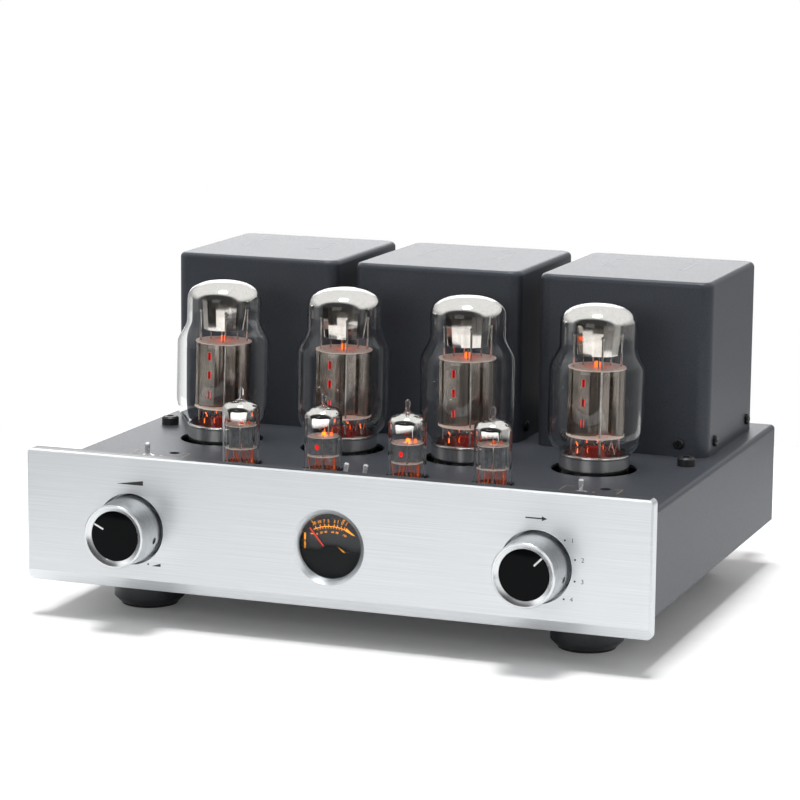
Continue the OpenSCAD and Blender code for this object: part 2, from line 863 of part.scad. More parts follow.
// Long bolts down through core, spacer and top plate, with nuts under the plate
module transformer_bolts() {
    nut_z = under_z - bolt_nut_h;
    color("#a8abae")
        for (x = cover_xs, sx = [-1, 1], sy = [-1, 1])
            translate([x + sx * core_bolt_x, cover_mid_y + sy * core_bolt_y, 0]) {
                translate([0, 0, nut_z])
                    cylinder(r = m5_r, h = core_z0 + core_stack - nut_z + cut);
                translate([0, 0, core_z0 + core_stack])
                    cylinder(r = bolt_head_r, h = bolt_head_h, $fn = 6);
                translate([0, 0, nut_z])
                    hex_nut(bolt_head_r, m5_r + thread_gap, bolt_nut_h);
                translate([0, 0, case_z1])
                    ring(core_yoke / 2 - 1, m5_r + screw_gap, core_lift);
            }
}

module circuit_board() {
    color("#1f5a36")
        difference() {
            translate([-board_w / 2, board_y0, board_z0])
                cube([board_w, board_y1 - board_y0, board_t]);
            for (p = standoff_places)
                translate([p[0], p[1], board_z0 - cut])
                    cylinder(r = m3_r + screw_gap, h = board_t + 2 * cut);
        }
}

// Round ceramic socket with its pin holes, standing on the board
module socket(r, pin_ring, pin_hole_r, pin_steps, pin_count, pin_l) {
    difference() {
        cylinder(r = r, h = socket_h);
        for (k = [0:pin_count - 1])
            rotate(k * 360 / pin_steps)
                translate([pin_ring, 0, socket_h - pin_l - cut / 2])
                    cylinder(r = pin_hole_r, h = pin_l + 2 * cut);
    }
}

module tube_sockets() {
    color("#e6e1d6") {
        for (x = power_xs)
            translate([x, power_y, board_z1])
                difference() {
                    socket(power_socket_r, power_pin_ring, power_pin_r + pin_gap, 8, 8, power_pin_l);
                    translate([0, 0, -cut])
                        cylinder(r = key_r + pin_gap, h = socket_h + 2 * cut);
                }
        for (x = small_xs)
            translate([x, small_y, board_z1])
                socket(small_socket_r, small_pin_ring, small_pin_r + pin_gap, 10, 9, small_pin_l);
    }
}

// Pillars under the top plate that carry the board, each with its screw
module board_standoffs() {
    color("#b9a15a")
        for (p = standoff_places)
            translate([p[0], p[1], 0]) {
                difference() {
                    translate([0, 0, board_z1])
                        cylinder(r = standoff_r, h = under_z - board_z1);
                    translate([0, 0, board_z1 - cut])
                        cylinder(r = m3_r + thread_gap, h = board_screw_l + 1 + cut);
                }
                translate([0, 0, board_z0])
                    rotate([180, 0, 0])
                        pan_screw(m3_r, board_screw_l);
            }
}

// Filter cans, film capacitors and the fuse under the board, and the bias trimmers on it
module board_components() {
    can_y = (small_y + power_y) / 2 + 2;
    fuse_y = can_y - fuse_front;
    rotor_z = socket_h + seat_depth - sheet_t - rotor_drop;
    color("#23262b") {
        for (x = [-1.5:1:1.5])
            translate([x * power_pitch, can_y, board_z0 - can_h])
                cylinder(r = can_r, h = can_h);
        for (x = [-1:1])
            translate([x * power_pitch - film_w / 2, can_y + film_back - film_d / 2, board_z0 - film_h])
                cube([film_w, film_d, film_h]);
        for (s = [-1, 1])
            translate([s * fuse_l / 2 - clip_w / 2, fuse_y, board_z0 - clip_h])
                difference() {
                    translate([0, -clip_d / 2, 0])
                        cube([clip_w, clip_d, clip_h]);
                    translate([-cut, 0, clip_h - fuse_low])
                        rotate([0, 90, 0])
                            cylinder(r = fuse_r + thread_gap, h = clip_w + 2 * cut);
                }
        translate([-(fuse_l + clip_w) / 2, fuse_y, board_z0 - fuse_low])
            rotate([0, 90, 0])
                cylinder(r = fuse_r, h = fuse_l + clip_w);
        for (p = trimmer_places)
            translate([p[0], p[1], board_z1])
                difference() {
                    union() {
                        translate([-trimmer_w / 2, -trimmer_w / 2, 0])
                            cube([trimmer_w, trimmer_w, trimmer_h]);
                        cylinder(r = rotor_r, h = rotor_z);
                    }
                    translate([-rotor_r - cut, -rotor_slot_w / 2, rotor_z - rotor_slot_h])
                        cube([2 * (rotor_r + cut), rotor_slot_w, rotor_slot_h + cut]);
                }
    }
}

// Threaded bushing in the front wall with the bore that a shaft turns in
module control_bushing(body_r, body_l) {
    bore_r = shaft_d / 2 + shaft_play;
    difference() {
        union() {
            translate([0, 0, -sheet_t - body_l])
                cylinder(r = body_r, h = body_l);
            translate([0, 0, -sheet_t - cut])
                cylinder(r = bushing_r, h = sheet_t + cut + bushing_reach);
        }
        translate([0, 0, -sheet_t - shaft_in - free_gap])
            cylinder(r = bore_r, h = shaft_in + free_gap + sheet_t + bushing_reach + cut);
    }
    hex_nut(nut_r, bushing_r + thread_gap, nut_h);
}

module volume_potentiometer() {
    pot_r = 12;
    pot_l = 13;
    color("#6f7377")
        facing_front(-knob_x, case_y0, control_z) {
            control_bushing(pot_r, pot_l);
            for (k = [-1:1])
                translate([k * 5 - 1, -pot_r - 5, -sheet_t - 9])
                    cube([2, 6, 0.8]);
        }
}

module selector_switch() {
    switch_r = 13;
    switch_l = 10;
    wafer_r = 15;
    color("#7b7466")
        facing_front(knob_x, case_y0, control_z) {
            control_bushing(switch_r, switch_l);
            translate([0, 0, -sheet_t - switch_l - 8]) {
                cylinder(r = wafer_r, h = 1.6);
                for (s = [-1, 1])
                    translate([s * 10, 0, 1.6])
                        cylinder(r = 2, h = 6.4);
            }
        }
}

// Shaft from inside the control body to inside the knob
module control_shaft(x) {
    color("#d5d7d9")
        bar_y(x, control_z, shaft_d / 2, panel_y - knob_bore + 0.5, wall_y + shaft_in);
}

module volume_shaft() {
    control_shaft(-knob_x);
}

module selector_shaft() {
    control_shaft(knob_x);
}

// Turned knob with a sloping front ring, a pocket for its face and a set screw in its side
module knob(x) {
    base_r = knob_base_d / 2;
    front_r = knob_d / 2;
    pocket_r = face_d / 2 + thread_gap;
    bore_r = shaft_d / 2 + 0.03;
    floor_z = knob_proud - face_pocket - face_drop;
    color("#c4c6c8")
        facing_front(x, panel_y, control_z) {
            difference() {
                rotate_extrude()
                    polygon([[0, -knob_sink], [base_r, -knob_sink],
                             [front_r, knob_proud - knob_rim], [front_r - knob_rim, knob_proud],
                             [front_r - 2 * knob_rim, knob_proud], [pocket_r, knob_proud - face_drop],
                             [pocket_r, floor_z], [0, floor_z]]);
                translate([0, 0, -knob_sink - cut])
                    cylinder(r = bore_r, h = knob_bore + knob_sink + cut);
                rotate(set_screw_angle)
                    translate([0, 0, set_screw_y])
                        rotate([0, 90, 0])
                            cylinder(r = set_screw_r + thread_gap, h = knob_d);
            }
            rotate(set_screw_angle)
                translate([shaft_d / 2 + 0.05, 0, set_screw_y])
                    rotate([0, 90, 0])
                        difference() {
                            cylinder(r = set_screw_r, h = set_screw_l);
                            translate([0, 0, set_screw_l - 1.6])
                                cylinder(r = 0.8, h = 2, $fn = 6);
                        }
        }
}

module volume_knob() {
    knob(-knob_x);
}

module selector_knob() {
    knob(knob_x);
}

// Black face with a groove for the pointer line
module knob_face(x, angle) {
    face_z = knob_proud - face_pocket - face_drop;
    line_l = face_d / 2 - 0.6 - face_line_in;
    color("#101012")
        facing_front(x, panel_y, control_z)
            difference() {
                translate([0, 0, face_z])
                    cylinder(d = face_d, h = face_pocket);
                rotate(angle)
                    translate([face_line_in, -face_line_w / 2, face_z + face_pocket - face_line_depth])
                        cube([line_l, face_line_w, 1]);
            }
}

module volume_knob_face() {
    knob_face(-knob_x, volume_angle);
}

module selector_knob_face() {
    knob_face(knob_x, selector_angle);
}

// Cup behind the window: its tube passes the front wall and its flange stops behind it
module meter_housing() {
    back = -lens_back - meter_depth;
    ledge_z = -dial_depth - dial_t;
    color("#1a1a1c")
        facing_front(0, panel_y, control_z)
            difference() {
                union() {
                    translate([0, 0, back])
                        cylinder(r = housing_r, h = meter_depth);
                    translate([0, 0, -panel_t - sheet_t - 2])
                        cylinder(r = housing_flange_r, h = 2);
                }
                translate([0, 0, ledge_z])
                    cylinder(r = housing_in_r, h = -ledge_z + cut);
                translate([0, 0, back + housing_wall])
                    cylinder(r = housing_in_r - 1, h = meter_depth);
            }
}

module meter_lens() {
    color("#dfe6ea", 0.3)
        bar_y(0, control_z, lens_r - fit_gap, panel_y + flare_depth, panel_y + lens_back);
}

// Scale plate with a hole for the needle's staff
module meter_dial() {
    color("#17130f")
        facing_front(0, panel_y, control_z)
            difference() {
                translate([0, 0, -dial_depth - dial_t])
                    cylinder(r = housing_in_r - fit_gap, h = dial_t);
                translate([0, -pivot_drop, -dial_depth - dial_t - cut])
                    cylinder(r = dial_hole_r, h = dial_t + 2 * cut);
            }
}

// Black plate over the lower half of the dial, with a raised middle that hides the pivot
module meter_mask() {
    mask_r = housing_in_r - fit_gap;
    color("#0c0c0d")
        facing_front(0, panel_y, control_z)
            translate([0, 0, -mask_depth - mask_t])
                linear_extrude(mask_t)
                    intersection() {
                        circle(mask_r);
                        union() {
                            translate([-mask_r - cut, -mask_r - cut])
                                square([2 * mask_r + 2 * cut, mask_r + cut + mask_top]);
                            polygon([[-hump_low_w / 2, mask_top - cut], [hump_low_w / 2, mask_top - cut],
                                     [hump_low_w / 2, mask_top], [hump_top_w / 2, mask_top + hump_h],
                                     [-hump_top_w / 2, mask_top + hump_h], [-hump_low_w / 2, mask_top]]);
                        }
                    }
}

// Magnet and coil frame behind the dial, with the bearing of the needle's staff
module meter_movement() {
    bearing_r = staff_r + shaft_play;
    color("#8a6f3c")
        facing_front(0, panel_y, control_z)
            translate([0, -pivot_drop, -dial_depth - dial_t - movement_l])
                difference() {
                    cylinder(r = movement_r, h = movement_l);
                    translate([0, 0, movement_l - staff_l - free_gap])
                        cylinder(r = bearing_r, h = staff_l + cut);
                }
}

// Needle blade, hub and staff
module meter_needle() {
    color("#d6301d")
        facing_front(0, panel_y, control_z)
            translate([0, -pivot_drop, -needle_depth - needle_t]) {
                cylinder(r = hub_r, h = needle_t);
                translate([0, 0, -dial_depth - dial_t + needle_depth + needle_t - staff_l])
                    cylinder(r = staff_r, h = staff_l + dial_depth + dial_t - needle_depth - needle_t / 2);
                rotate(needle_rest)
                    translate([-needle_w / 2, 0, 0])
                        cube([needle_w, needle_l, needle_t]);
            }
}

// Switch body under the top plate with its threaded bushing and nut
module toggle_body(p) {
    pin_bore_r = pivot_pin_r + pivot_play;
    translate([p[0], p[1], 0])
        difference() {
            union() {
                translate([-toggle_body[0] / 2, -toggle_body[1] / 2, under_z - toggle_body[2]])
                    cube(toggle_body);
                translate([0, 0, under_z - cut])
                    cylinder(r = toggle_bush_r, h = sheet_t + toggle_bush_h + cut);
            }
            translate([0, 0, pivot_z - ball_r - 1.6])
                cylinder(r = toggle_bush_in_r, h = 20);
            translate([0, 0, pivot_z])
                rotate([90, 0, 0])
                    cylinder(r = pin_bore_r, h = 2 * pivot_pin_half + 0.2, center = true);
        }
    translate([p[0], p[1], case_z1])
        hex_nut(toggle_nut_r, toggle_bush_r + thread_gap, toggle_nut_h);
}

module toggle_switch_bodies() {
    color("#9ea1a4")
        for (p = toggle_places)
            toggle_body(p);
}

// Lever with its ball and the pivot pin across it
module toggle_lever(p, lean) {
    lever_l = case_z1 + lever_top - pivot_z;
    color("#d9dadb")
        translate([p[0], p[1], pivot_z]) {
            rotate([90, 0, 0])
                cylinder(r = pivot_pin_r, h = 2 * pivot_pin_half, center = true);
            rotate([0, lean, 0]) {
                rotate_extrude()
                    polygon([[0, -ball_r], [ball_r * 0.7, -ball_r], [ball_r, -ball_band], [ball_r, ball_band],
                             [ball_r * 0.7, ball_r], [lever_r, ball_r + 0.4], [lever_tip_r, lever_l - 1.8],
                             [lever_tip_r, lever_l - 0.7], [lever_tip_r * 0.6, lever_l], [0, lever_l]]);
            }
        }
}

module bias_toggle_left() {
    toggle_lever(toggle_places[0], 0);
}

module bias_toggle_right() {
    toggle_lever(toggle_places[1], 0);
}

module mode_toggle() {
    toggle_lever(toggle_places[2], lever_lean);
}

module meter_toggle() {
    toggle_lever(toggle_places[3], lever_lean);
}

// Frame of the rocker in the left wall, with a well and two bearings
module power_switch_body() {
    color("#161618")
        translate([-case_w / 2, rocker_y0, rocker_z])
            difference() {
                union() {
                    translate([-rocker_frame[0], -rocker_frame[1] / 2, -rocker_frame[2] / 2])
                        cube(rocker_frame);
                    translate([0, -rocker_body[1] / 2, -rocker_body[2] / 2])
                        cube(rocker_body);
                }
                translate([-rocker_frame[0] - cut, -rocker_open[0] / 2, -rocker_open[1] / 2])
                    cube([rocker_well + rocker_frame[0] + cut, rocker_open[0], rocker_open[1]]);
                translate([rocker_depth, 0, 0])
                    cylinder(r = rocker_axle_r + pivot_play, h = rocker_open[1] + 1.6, center = true);
            }
}

// Rocker with a shallow V front, turned about its axle to the side that is pressed in
module power_rocker() {
    reach = rocker_frame[0] + rocker_depth;
    ear = 0.4 * rocker_half * tan(rocker_tilt);
    color("#1d1d20")
        translate([rocker_x, rocker_y0, rocker_z])
            rotate(rocker_tilt) {
                cylinder(r = rocker_axle_r, h = rocker_open[1] + 1.2, center = true);
                translate([0, 0, -rocker_w / 2])
                    linear_extrude(rocker_w)
                        polygon([[-reach, 0], [-reach - ear, -rocker_half],
                                 [rocker_back / 3, -rocker_half * 0.9], [rocker_back, 0],
                                 [rocker_back / 3, rocker_half * 0.9], [-reach - ear, rocker_half]]);
            }
}

// Appliance inlet: flange, body with a deep well and three blades
module mains_inlet() {
    blade_places = [[-7, 2.2], [7, 2.2], [0, -2.4]];
    half_w = inlet_opening[0] / 2;
    half_h = inlet_opening[1] / 2;
    color("#17171a")
        facing_rear(inlet_x, rear_mid_z) {
            difference() {
                union() {
                    translate([-inlet_flange[0] / 2, -inlet_flange[2] / 2, 0])
                        cube([inlet_flange[0], inlet_flange[2], inlet_flange[1]]);
                    translate([-inlet_body[0] / 2, -inlet_body[2] / 2, -inlet_body[1]])
                        cube([inlet_body[0], inlet_body[2], inlet_body[1]]);
                }
                translate([0, 0, inlet_flange[1] - inlet_well])
                    linear_extrude(inlet_well + cut)
                        polygon([[-half_w, half_h], [half_w, half_h], [half_w, inlet_corner - half_h],
                                 [half_w - inlet_corner, -half_h], [inlet_corner - half_w, -half_h],
                                 [-half_w, inlet_corner - half_h]]);
                for (sx = [-1, 1])
                    translate([sx * inlet_screw_x, 0, -cut])
                        cylinder(r = m3_r + thread_gap, h = inlet_flange[1] + 2 * cut);
            }
            for (p = blade_places)
                translate([p[0], p[1], inlet_flange[1] - inlet_well])
                    linear_extrude(inlet_blade[1])
                        square([inlet_blade[0], inlet_blade[2]], center = true);
        }
}

// Gold posts: insulating flange, shank through the wall and a stud with the banana bore
module speaker_posts() {
    color("#c9a24c")
        for (x = post_xs)
            facing_rear(x, rear_mid_z)
                difference() {
                    union() {
                        cylinder(r = post_flange_r, h = post_flange_h);
                        translate([0, 0, -sheet_t - post_shank_l])
                            cylinder(r = post_shank_r, h = sheet_t + post_shank_l + cut);
                        cylinder(r = post_stud_r, h = post_reach);
                    }
                    translate([0, 0, post_reach - post_bore_l])
                        cylinder(d = banana_d, h = post_bore_l + cut);
                }
}

// Grooved cap screwed on a post
module speaker_cap(x) {
    cap_z0 = post_flange_h + 1.5;
    cap_l = post_reach - cap_z0;
    grooves = 16;
    facing_rear(x, rear_mid_z)
        translate([0, 0, cap_z0])
            difference() {
                cylinder(r = post_cap_r, h = cap_l);
                translate([0, 0, -cut])
                    cylinder(r = post_stud_r + thread_gap, h = cap_l + 2 * cut);
                for (k = [0:grooves - 1])
                    rotate(k * 360 / grooves)
                        translate([post_cap_r + 0.25, 0, -cut])
                            cylinder(r = 0.7, h = cap_l - 2 + cut);
            }
}

module speaker_caps_red() {
    color("#a31d1a")
        for (x = post_red)
            speaker_cap(x);
}

module speaker_caps_black() {
    color("#151517")
        for (x = post_black)
            speaker_cap(x);
}

// Line jacks: barrel, flange and shank with a nut inside the wall
module line_jacks() {
    color("#c9a24c")
        for (p = jack_places)
            facing_rear(p[0], p[1]) {
                difference() {
                    union() {
                        cylinder(d = jack_d, h = jack_reach);
                        cylinder(r = jack_flange_r, h = jack_flange_h);
                        translate([0, 0, -sheet_t - jack_shank_l])
                            cylinder(r = jack_shank_r, h = sheet_t + jack_shank_l + cut);
                    }
                    translate([0, 0, -cut])
                        cylinder(r = jack_bore_r, h = jack_reach + 2 * cut);
                }
                translate([0, 0, -sheet_t - 2])
                    hex_nut(jack_flange_r, jack_shank_r + thread_gap, 2);
            }
}

// Turned feet, each on a rubber pad ring
module feet() {
    hole_r = m5_r + screw_gap;
    shelf_z = foot_h - foot_screw_wall;
    chamfer = (foot_d - pad_d) / 2;
    color("#141415")
        for (p = foot_places)
            translate([p[0], p[1], 0]) {
                rotate_extrude()
                    polygon([[hole_r, shelf_z], [foot_bore_r, shelf_z], [foot_bore_r, foot_pad_h],
                             [pad_d / 2, foot_pad_h], [foot_d / 2, foot_pad_h + chamfer],
                             [foot_d / 2, foot_h - 1], [foot_d / 2 - 1, foot_h], [hole_r, foot_h]]);
                ring(pad_d / 2 - 0.8, foot_bore_r, foot_pad_h - touch_gap);
            }
}

// Screws of the bottom plate, feet, front panel and mains inlet, and the foot nuts
module case_screws() {
    color("#8b8e92") {
        for (sx = [-1, 1], y = flange_screw_ys)
            translate([sx * (case_w / 2 - flange_screw_in), y, plate_z0])
                rotate([180, 0, 0])
                    pan_screw(m3_r, 2 * sheet_t + 3);
        for (p = foot_places)
            translate([p[0], p[1], 0]) {
                translate([0, 0, foot_h - foot_screw_wall])
                    rotate([180, 0, 0])
                        pan_screw(m5_r, foot_screw_wall + plate_recess + sheet_t + bolt_nut_h);
                translate([0, 0, plate_z1])
                    hex_nut(bolt_head_r, m5_r + thread_gap, bolt_nut_h);
            }
        for (p = panel_screw_places)
            translate([p[0], wall_y, p[1]])
                rotate([-90, 0, 0])
                    pan_screw(m4_r, sheet_t + panel_screw_bite - 0.5);
        for (sx = [-1, 1])
            facing_rear(inlet_x + sx * inlet_screw_x, rear_mid_z)
                translate([0, 0, inlet_flange[1]])
                    pan_screw(m3_r, inlet_flange[1] + sheet_t + 4);
    }
}

// Black sockets that take the pins of a tube cage
module cage_sockets() {
    color("#141416")
        for (sx = [-1, 1])
            translate([sx * cage_x, cage_y, case_z1])
                difference() {
                    union() {
                        cylinder(r = cage_r, h = cage_h - 1);
                        translate([0, 0, cage_h - 1])
                            cylinder(r1 = cage_r, r2 = cage_r - 1, h = 1);
                        translate([0, 0, -cage_spigot_l])
                            cylinder(r = cage_spigot_r, h = cage_spigot_l + cut);
                    }
                    translate([0, 0, -cage_spigot_l + 2])
                        cylinder(r = cage_bore_r, h = cage_spigot_l + cage_h);
                }
}

// Smooth rise from 0 to 1
function ease(t) = t * t * (3 - 2 * t);

// Outside of a power tube's glass from its foot to its dome, drawn in by the wall w
function power_outline(w) = concat(
    [[glass_foot_r - w, glass_z0 + w], [glass_foot_r - w, collar_top]],
    [for (k = [1:6]) let (t = k / 6)
        [glass_foot_r - w + (power_glass_d / 2 - glass_foot_r) * sin(90 * t),
         collar_top + bulge_h * (1 - cos(90 * t))]],
    [for (k = [0:6]) let (t = k / 6)
        [power_glass_d / 2 - w - (power_glass_d - power_dome_d) / 2 * ease(t),
         power_top - shoulder_drop + shoulder_h * t]],
    [for (k = [0:8]) let (a = 90 * k / 8)
        [(power_dome_d / 2 - w) * cos(a), power_top - dome_h + (dome_h - w) * sin(a)]]
);

// Sealed bulb with a floor, hollow inside
module power_tube_glass(k) {
    outer = power_outline(0);
    inner = power_outline(glass_t);
    color("#e8eef2", 0.25)
        translate([power_xs[k - 1], power_y, case_z1])
            rotate_extrude()
                polygon(concat([[0, glass_z0]], outer, [for (i = [len(inner) - 1:-1:1]) inner[i]],
                               [[glass_foot_r - glass_t, glass_z0 + stem_t], [0, glass_z0 + stem_t]]));
}

// Outline of an anode: two flat faces with sloping shoulders, the same in each quarter
module anode_outline(grow) {
    w = anode_w / 2 + grow;
    d = anode_d / 2 + grow;
    quarter_turn = [[1, 0.35], [0.72, 0.86], [0.4, 1]];
    right = [for (q = quarter_turn) [w * q[0], d * q[1]]];
    left = [for (i = [2:-1:0]) [-right[i][0], right[i][1]]];
    upper = concat(right, left);
    polygon(concat(upper, [for (i = [5:-1:0]) [upper[i][0], -upper[i][1]]]));
}

// Base with pins, and the electrode cage that stands on the glass floor
module power_tube(k) {
    floor_z = glass_z0 + stem_t;
    collar_r = collar_d / 2;
    collar_l = collar_top - tube_z0;
    rod_angles = [45, 135, 225, 315];
    color("#b8babc")
        translate([power_xs[k - 1], power_y, case_z1]) {
            translate([0, 0, tube_z0])
                rotate_extrude()
                    polygon([[collar_in_r, 0], [collar_r - 0.6, 0], [collar_r, 0.6], [collar_r, collar_l - 1],
                             [collar_r - 0.3, collar_l - 0.3], [collar_in_r + 0.3, collar_l],
                             [collar_in_r, collar_l - 0.4]]);
            translate([0, 0, tube_z0]) {
                cylinder(r = collar_in_r - fit_gap, h = wafer_t);
                translate([0, 0, -power_pin_l])
                    cylinder(r = key_r, h = power_pin_l + cut);
                for (a = [0:7])
                    rotate(a * 45)
                        translate([power_pin_ring, 0, -power_pin_l])
                            cylinder(r = power_pin_r, h = power_pin_l + cut);
            }
            rotate(electrode_turn) {
                for (z = [mica_low, mica_high])
                    translate([0, 0, z])
                        difference() {
                            cylinder(r = mica_r, h = mica_t);
                            for (a = rod_angles)
                                rotate(a)
                                    translate([rod_ring, 0, -cut])
                                        cylinder(r = rod_r + thread_gap, h = mica_t + 2 * cut);
                            translate([0, 0, -cut])
                                cylinder(r = cathode_r + thread_gap, h = mica_t + 2 * cut);
                        }
                for (a = rod_angles)
                    rotate(a)
                        translate([rod_ring, 0, floor_z])
                            cylinder(r = rod_r, h = rod_top - floor_z);
                translate([0, 0, mica_low - 3])
                    cylinder(r = cathode_r, h = mica_high - mica_low + 6);
                translate([0, 0, mica_low + mica_t + touch_gap])
                    linear_extrude(mica_high - mica_low - mica_t - 2 * touch_gap)
                        difference() {
                            union() {
                                anode_outline(0);
                                square([anode_w + 2 * anode_fin, 1.2], center = true);
                            }
                            anode_outline(-anode_t);
                        }
                translate([0, 0, mica_high + mica_t + touch_gap])
                    difference() {
                        cylinder(r = getter_r, h = getter_z1 - mica_high - mica_t);
                        translate([0, 0, -cut])
                            cylinder(r = getter_r - 0.5, h = getter_z1);
                    }
            }
        }
}

// Outside of a small tube's glass, drawn in by the wall w
function small_outline(w) = concat(
    [[small_d / 2 - w, tube_z0 + w]],
    [for (k = [0:6]) let (a = 75 * k / 6)
        [(small_d / 2 - small_dome_flat - w) * cos(a) + small_dome_flat,
         small_top - small_dome_drop + (small_dome_h - w) * sin(a)]],
    [for (i = [0:3]) [tip_r[i] - min(w, tip_r[i] * 0.8), small_top - tip_drop[i] - (i < 2 ? 0 : w)]]
);

module small_tube_glass(k) {
    outer = small_outline(0);
    inner = small_outline(small_glass_t);
    floor_z = tube_z0 + small_stem_t;
    color("#e8eef2", 0.25)
        translate([small_xs[k - 1], small_y, case_z1])
            rotate_extrude()
                polygon(concat([[0, tube_z0]], outer, [[0, small_top], [0, small_top - small_glass_t]],
                               [for (i = [len(inner) - 1:-1:1]) inner[i]],
                               [[small_d / 2 - small_glass_t, floor_z], [0, floor_z]]));
}

// Pins under the glass, and two plates between mica discs on four rods
module small_tube(k) {
    floor_z = tube_z0 + small_stem_t;
    rod_angles = [0, 90, 180, 270];
    color("#9a9c9e")
        translate([small_xs[k - 1], small_y, case_z1]) {
            for (a = [0:8])
                rotate(a * 36)
                    translate([small_pin_ring, 0, tube_z0 - small_pin_l])
                        cylinder(r = small_pin_r, h = small_pin_l);
            rotate(electrode_turn) {
                for (z = [small_mica_low, small_mica_high])
                    translate([0, 0, z])
                        difference() {
                            cylinder(r = small_mica_r, h = mica_t);
                            for (a = rod_angles)
                                rotate(a)
                                    translate([small_rod_ring, 0, -cut])
                                        cylinder(r = small_rod_r + thread_gap, h = mica_t + 2 * cut);
                        }
                for (a = rod_angles)
                    rotate(a)
                        translate([small_rod_ring, 0, floor_z])
                            cylinder(r = small_rod_r, h = small_mica_high + 2 - floor_z);
                for (s = [-1, 1])
                    translate([s * small_anode_x, 0, small_mica_low + mica_t + touch_gap])
                        linear_extrude(small_mica_high - small_mica_low - mica_t - 2 * touch_gap)
                            difference() {
                                square([small_anode_w, small_anode_d], center = true);
                                square([small_anode_w - 1, small_anode_d - 1], center = true);
                            }
            }
        }
}

chassis_case();
bottom_plate();
front_panel();
transformer_cover_left();
transformer_cover_centre();
transformer_cover_right();
cover_brackets();
cover_screws();
transformer_cores();
transformer_coils();
transformer_bolts();
circuit_board();
tube_sockets();
board_standoffs();
board_components();
volume_potentiometer();
selector_switch();
meter_housing();
meter_dial();
meter_mask();
meter_lens();
meter_movement();
meter_needle();
toggle_switch_bodies();
bias_toggle_left();
bias_toggle_right();
mode_toggle();
meter_toggle();
power_switch_body();
power_rocker();
mains_inlet();
speaker_posts();
speaker_caps_red();
speaker_caps_black();
line_jacks();
feet();
case_screws();
cage_sockets();
volume_knob();
volume_knob_face();
volume_shaft();
selector_knob();
selector_knob_face();
selector_shaft();
power_tube(1);  // power_tube_1
power_tube(2);  // power_tube_2
power_tube(3);  // power_tube_3
power_tube(4);  // power_tube_4
power_tube_glass(1);  // power_tube_1_glass
power_tube_glass(2);  // power_tube_2_glass
power_tube_glass(3);  // power_tube_3_glass
power_tube_glass(4);  // power_tube_4_glass
small_tube(1);  // small_tube_1
small_tube(2);  // small_tube_2
small_tube(3);  // small_tube_3
small_tube(4);  // small_tube_4
small_tube_glass(1);  // small_tube_1_glass
small_tube_glass(2);  // small_tube_2_glass
small_tube_glass(3);  // small_tube_3_glass
small_tube_glass(4);  // small_tube_4_glass
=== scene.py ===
"""Looks of a tube integrated amplifier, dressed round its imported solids.

The frame is the part's own: +X to the right, +Y to the rear, +Z up, with the floor at zero. Sizes are written in
millimetres, and each piece is turned into metres when its mesh is made.
"""

import json
import logging
import math
from collections.abc import Callable, Sequence
from dataclasses import dataclass, replace
from enum import Enum
from functools import cache

import bmesh
import bpy
import numpy as np
from mathutils import Matrix, Vector


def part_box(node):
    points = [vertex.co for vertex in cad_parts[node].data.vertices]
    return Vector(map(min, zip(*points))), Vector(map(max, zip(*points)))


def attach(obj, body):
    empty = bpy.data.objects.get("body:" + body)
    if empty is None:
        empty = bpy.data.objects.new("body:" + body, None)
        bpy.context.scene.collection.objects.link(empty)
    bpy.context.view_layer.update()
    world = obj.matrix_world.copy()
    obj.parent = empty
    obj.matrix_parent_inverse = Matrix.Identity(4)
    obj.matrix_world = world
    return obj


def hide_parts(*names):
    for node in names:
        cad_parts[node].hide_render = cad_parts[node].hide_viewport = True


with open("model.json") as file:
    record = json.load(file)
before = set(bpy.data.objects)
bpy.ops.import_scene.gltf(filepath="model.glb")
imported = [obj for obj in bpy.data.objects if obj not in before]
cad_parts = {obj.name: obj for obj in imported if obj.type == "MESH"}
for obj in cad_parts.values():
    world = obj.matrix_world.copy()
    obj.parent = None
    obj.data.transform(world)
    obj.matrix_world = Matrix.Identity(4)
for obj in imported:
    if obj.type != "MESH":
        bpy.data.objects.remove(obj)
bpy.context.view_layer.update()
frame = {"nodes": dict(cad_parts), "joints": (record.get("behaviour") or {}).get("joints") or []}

MM = 0.001
PRINT_T = 0.04
CRISP = 32.0
GOLDEN_ANGLE = 137.5
NOISE_LOW, NOISE_HIGH = 0.3, 0.7
CASE_BODY = "case"
SHARE = "share"
Socket = bpy.types.NodeSocket
Pair = tuple[float, float]
Triple = tuple[float, float, float]
Line = tuple[tuple[float, ...], ...]
log = logging.getLogger("amplifier")


def tone(code: str) -> tuple[float, float, float, float]:
    """Turn a display colour into the linear values that a shader takes.

    Args:
        code: The colour as six hexadecimal digits after a hash mark.

    Returns:
        Red, green and blue in linear light, and an alpha of one.
    """
    shown = np.array([int(code[i:i + 2], 16) for i in (1, 3, 5)]) / 255
    linear = np.where(shown <= 0.04045, shown / 12.92, ((shown + 0.055) / 1.055) ** 2.4)
    return (*linear.tolist(), 1.0)


def node_box(node: str) -> tuple[np.ndarray, np.ndarray]:
    """Give the lowest and highest corner of a CAD node in millimetres."""
    low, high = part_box(node)
    return np.array(low) / MM, np.array(high) / MM


def middle(node: str) -> np.ndarray:
    """Give the middle of a CAD node in millimetres."""
    return np.add(*node_box(node)) / 2


def ray(degrees: float) -> np.ndarray:
    """Give the cosine and the sine of an angle."""
    return np.array([math.cos(math.radians(degrees)), math.sin(math.radians(degrees))])


def bearing(azimuth: float, elevation: float) -> Vector:
    """Give the way from the object to a place: azimuth counts from the front to the right."""
    (ca, sa), (ce, se) = ray(azimuth), ray(elevation)
    return Vector((sa * ce, -ca * ce, se))


class Facing(Enum):
    """Turns that point a shape's own +Z out of the front panel or to the right."""

    FRONT = ((1, 0, 0), (0, 0, -1), (0, 1, 0))
    RIGHT = ((0, 0, 1), (1, 0, 0), (0, 1, 0))


